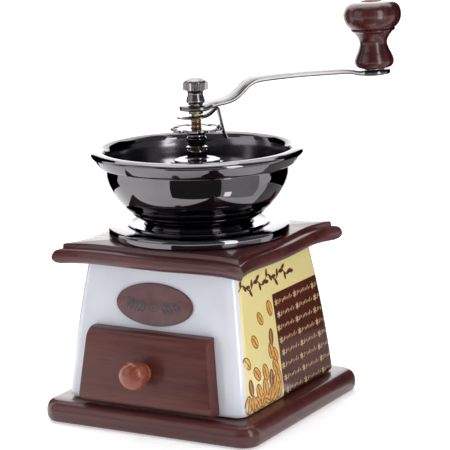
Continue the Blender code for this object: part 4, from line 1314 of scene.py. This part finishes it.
# %% Beans that fall and pile up
falling = [(-13.2, 61.5, 12, 4.4), (-24.4, 58.4, 34, 4.1), (-33.0, 48.2, 38, 4.3),
           (-17.4, 39.8, 8, 4.4), (-13.4, 37.1, 24, 4.2), (-43.4, 39.3, 42, 4.2)]
pile = [(-34.6, 31.8, 40, 4.6), (-25.7, 30.6, 12, 4.7), (-14.2, 30.8, 34, 4.7),
        (-12.6, 25.6, 22, 4.5), (-27.3, 22.9, 6, 5.0), (-34.3, 22.2, 16, 4.7),
        (-15.6, 23.6, -26, 4.7), (-46.6, 18.4, -18, 4.9), (-41.4, 17.8, -6, 4.3),
        (-22.4, 18.2, -30, 4.7), (-30.8, 17.4, -44, 4.3), (-36.6, 17.0, 30, 4.1),
        (-13.4, 18.4, -34, 4.9), (-18.4, 16.9, -52, 4.3), (-26.4, 16.6, 62, 3.9)]
roasted = [(-15.6, 46.8, -6, 4.5), (-42.4, 26.4, 6, 4.6), (-20.2, 26.2, -10, 4.6)]
light_beans = stamp("light_beans", falling + pile, line_brown, bean_orange, line_brown)
dark_beans = stamp("dark_beans", roasted, line_brown, bean_brown, bean_orange, 0.55)
print_on_sides("printed_beans", [light_beans, dark_beans], [line_brown, bean_orange, bean_brown],
               0.06)

# %% [markdown]
# The brown panel carries eight rows of fine cream sprigs: a little star, then a run of slanted
# leaves.  The vine over the panel is a waving stem with leaves on both sides.  Neither one
# stands for any letter.

# %% Sprig rows and vine
ROWS = 8
TOP_ROW_Z = 62.6
ROW_STEP = 6.7
SPRIG = 21.0
sprigs = []
for row in range(ROWS):
    up = TOP_ROW_Z - row * ROW_STEP
    start = PANEL_EDGE_Y / MM + 3.4 + 1.1 * math.sin(row * 2.1)
    end = wall(up) - 2.6
    for star in range(3):
        at = start + star * SPRIG
        if at < end:
            sprigs += [(at, up, tilt, 2.1) for tilt in (0, 58, -58)]
        for leaf in range(8):
            along = at + 3.2 + leaf * 1.95
            if along < end:
                sprigs.append((along, up + 0.3 * math.sin(leaf * 2.4), -52 if leaf % 2 else -28,
                               1.15 if leaf % 3 else 1.6))
rows_mesh = stamp("rows", sprigs, cream_ink, width=0.24)
print_on_sides("printed_sprigs", [rows_mesh], [cream_ink], 0.05)

VINE_FROM = -41.0
VINE_TO = 15.0
VINE_Z = 76.4
VINE_MARKS = 80
WAVE = 14.0
WAVE_HEIGHT = 1.9
LEAF_OUT = 2.2


def stem(along):
    """The height of the vine's stem."""
    return VINE_Z + WAVE_HEIGHT * math.sin((along - VINE_FROM) * 2.0 * math.pi / WAVE)


vine = []
for i in range(VINE_MARKS + 1):
    along = VINE_FROM + (VINE_TO - VINE_FROM) * i / VINE_MARKS
    slope = math.atan2(stem(along + 0.1) - stem(along - 0.1), 0.2)
    vine.append((along, stem(along), 90.0 + math.degrees(slope), 0.8))
    if i % 4 == 2:
        side = 1 if i % 8 == 2 else -1
        lean = math.degrees(slope) - 90.0 + side * 38.0
        reach = math.radians(lean)
        vine.append((along - LEAF_OUT * math.sin(reach), stem(along) + LEAF_OUT * math.cos(reach),
                     lean, 2.3))
vine_mesh = stamp("vine", vine, line_brown, width=0.46)
print_on_sides("printed_vine", [vine_mesh], [line_brown], 0.05)

# %% [markdown]
# The oval plaque is a thin dark tablet glued to the front.  Its ornament, two twigs that meet at a
# coffee bean, is stamped by the same tree.

# %% Plaque
PLAQUE_Z = 66.5
PLAQUE_HALF = (22.9, 11.0)
ORNAMENT_Z = 65.2
ORNAMENT_LIFT = 1.35
plaque_rings = []
for depth, grow in ((0.3, 1.0), (0.95, 1.0), (1.2, 0.988), (1.3, 0.965)):
    ring = []
    for i in range(96):
        angle = 2.0 * math.pi * i / 96
        z = PLAQUE_Z + PLAQUE_HALF[1] * grow * math.sin(angle)
        ring.append(Vector((PLAQUE_HALF[0] * grow * math.cos(angle), -(wall(z) + depth), z)))
    plaque_rings.append(ring)
settle("oval_plaque", to_mesh("plaque", skin(plaque_rings)), [plaque_finish], "housing",
       ["front_plaque"], 40.0)
twigs = []
for side in (-1, 1):
    for i in range(5):
        out = side * (5.6 + i * 2.3)
        up = ORNAMENT_Z + 0.12 * i * i
        twigs += [(out, up + 1.5, side * -40, 1.9), (out + side * 0.6, up - 1.5, side * 40, 1.9)]
twigs_mesh = stamp("twigs", twigs, slate_ink, width=0.34)
bean_mesh = stamp("bean", [(0.0, ORNAMENT_Z, 90, 3.4)], slate_ink, plaque_finish.material,
                  slate_ink)
plaque_inks = [slate_ink, plaque_finish.material]
ornament = gathered([twigs_mesh, bean_mesh], plaque_inks)
for vertex in ornament.verts:
    off, along, up = vertex.co
    vertex.co = (along, -(wall(up / MM) + ORNAMENT_LIFT) * MM - off, up)
settle_print("plaque_ornament", ornament, plaque_inks)
